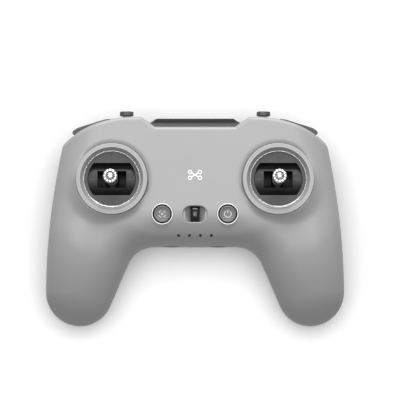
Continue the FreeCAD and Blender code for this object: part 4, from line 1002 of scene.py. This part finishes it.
def flat_ring(name, outer, inner, low, high):
    """A flat ring between two loops round one centre. The inner loop may have fewer points than the outer one."""
    count = len(outer)
    inner = [inner[int(i * len(inner) / count) % len(inner)] for i in range(count)]
    verts = [(x, y, z) for z in (low, high) for loop in (outer, inner) for x, y in loop]
    faces = []
    for i in range(count):
        j = (i + 1) % count
        a, b, c, d = 0, count, 2 * count, 3 * count
        faces += [(c + i, c + j, d + j, d + i), (a + j, a + i, b + i, b + j)]
        faces += [(a + i, a + j, c + j, c + i), (b + j, b + i, d + i, d + j)]
    return new_piece(name, verts, faces, False)


# ---------------------------------------------------------------- shoulder controls


def barrel(name, sections, count=72, power=2.1):
    """A closed form through rounded sections (y, half width, half thickness), its middle on the Y axis."""
    verts, faces = [(0.0, sections[0][0], 0.0)], []
    for y, a, b in sections:
        for i in range(count):
            c, d = math.cos(2 * math.pi * i / count), math.sin(2 * math.pi * i / count)
            x = a * math.copysign(abs(c) ** (2 / power), c)
            z = b * math.copysign(abs(d) ** (2 / power), d)
            verts.append((x, y, z))
    verts.append((0.0, sections[-1][0], 0.0))
    for i in range(count):
        j = (i + 1) % count
        faces.append((0, 1 + i, 1 + j))
        for k in range(len(sections) - 1):
            a, b = 1 + k * count, 1 + (k + 1) * count
            faces.append((a + i, b + i, b + j, a + j))
        last = 1 + (len(sections) - 1) * count
        faces.append((last + i, len(verts) - 1, last + j))
    piece = new_piece(name, verts, faces)
    fix_normals(piece)
    return piece


def toggle_knob(word):
    """A ribbed barrel knob on its lever."""
    x, y, z = SIDES[word] * TOGGLE[0], TOGGLE[1], TOGGLE[2]
    sections = [(10.4, 2.7, 1.1), (10.45, 3.4, 1.7), (10.6, 3.78, 2.2), (10.8, 3.85, 2.42)]
    for i in range(3):
        start = 10.95 + i * 0.6
        sections += [(start, 3.85, 2.5), (start + 0.1, 3.74, 2.28), (start + 0.2, 3.74, 2.28), (start + 0.3, 3.85, 2.5)]
    sections += [(12.75, 3.8, 2.42), (12.95, 3.6, 2.15), (13.1, 3.2, 1.8), (13.18, 2.5, 1.2)]
    knob = barrel(f"{word}_toggle_knob", sections)
    settle(place(knob, x, y, z), f"{word}_lever", "toggle_plastic", f"{word}_toggle")
    neck = wall_prism(f"{word}_toggle_neck", rounded_box(-2.1, -1.4, 2.1, 1.4, 0.5), 1.9, 10.6)
    soften(neck, 0.1)
    settle(place(neck, x, y, z), f"{word}_lever", "toggle_plastic")
    hub = lathe(f"{word}_toggle_hub", [(1.05, -3, 0.05), (2.6, -3, 0.3), (2.6, 3, 0.3), (1.05, 3, 0.05)], segments=64)
    hub.data.transform(Matrix.Rotation(math.pi / 2, 4, "Y"))
    settle(place(hub, x, y, z), f"{word}_lever", "toggle_plastic")


# ---------------------------------------------------------------- studio


def area_light(name, spot, aim, size, watts, floor, only_floor=False):
    """A soft light that reaches everything but the floor, or only the floor."""
    light = bpy.data.lights.new(name, "AREA")
    light.shape = "RECTANGLE"
    light.size, light.size_y = size
    light.energy = watts
    made = bpy.data.objects.new(name, light)
    made.location = spot
    made.rotation_euler = (Vector(aim) - Vector(spot)).to_track_quat("-Z", "Y").to_euler()
    bpy.context.collection.objects.link(made)
    lit = bpy.data.collections.new(name + "_receivers")
    lit.objects.link(floor)
    made.light_linking.receiver_collection = lit
    lit.collection_objects[0].light_linking.link_state = "INCLUDE" if only_floor else "EXCLUDE"


def studio():
    """A plain pale floor, a soft light overhead and one from beyond the antenna edge, and dim white surroundings."""
    mesh = bpy.data.meshes.new("floor")
    mesh.from_pydata([(-6, -6, 0), (6, -6, 0), (6, 6, 0), (-6, 6, 0)], [], [(0, 1, 2, 3)])
    floor = bpy.data.objects.new("floor", mesh)
    bpy.context.collection.objects.link(floor)
    floor.visible_diffuse = False
    n = Nodes("floor")
    tone = n.noise(3.0)
    mix = n.blend(tone, "Fac", (0.93, 0.93, 0.93), (0.95, 0.95, 0.95))
    n.join(mix, 2, n.shader, "Base Color")
    n.shader.inputs["Roughness"].default_value = 0.9
    mesh.materials.append(n.material)
    world = bpy.data.worlds.new("studio")
    world.use_nodes = True
    world.node_tree.nodes["Background"].inputs["Color"].default_value = (1, 1, 1, 1)
    world.node_tree.nodes["Background"].inputs["Strength"].default_value = 0.3
    bpy.context.scene.world = world
    area_light("overhead", (0.0, 0.12, 1.6), (0, 0, 0), (1.0, 1.0), 17, floor)
    area_light("key", (0.0, 1.25, 0.75), (0, 0.02, 0.02), (1.2, 0.8), 34, floor)
    area_light("table_light", (0.0, 0.25, 1.6), (0, 0, 0), (2.2, 2.2), 38, floor, True)
    bpy.context.scene.view_settings.view_transform = "Standard"


CAMERA_ELEVATION = math.radians(86)
CAMERA_DISTANCE = 1.3
CAMERA_AIM = (0.00276, 0.01007, 0.038)
FIELD = 0.2208
SENSOR = 36


def camera():
    """A long lens, almost straight above the face, with FIELD metres across the picture."""
    lens = bpy.data.cameras.new("camera")
    lens.sensor_width = SENSOR
    lens.lens = SENSOR * CAMERA_DISTANCE / FIELD
    made = bpy.data.objects.new("camera", lens)
    aim = Vector(CAMERA_AIM)
    away = Vector((0, -math.cos(CAMERA_ELEVATION), math.sin(CAMERA_ELEVATION)))
    made.location = aim + away * CAMERA_DISTANCE
    made.rotation_euler = (-away).to_track_quat("-Z", "Y").to_euler()
    bpy.context.collection.objects.link(made)
    bpy.context.scene.camera = made


build_housing()
dress_nodes()
for word in SIDES:
    gimbal_details(word)
    toggle_knob(word)
face_buttons()
emblem()
strap_bar()
antenna_strip()
studio()
camera()
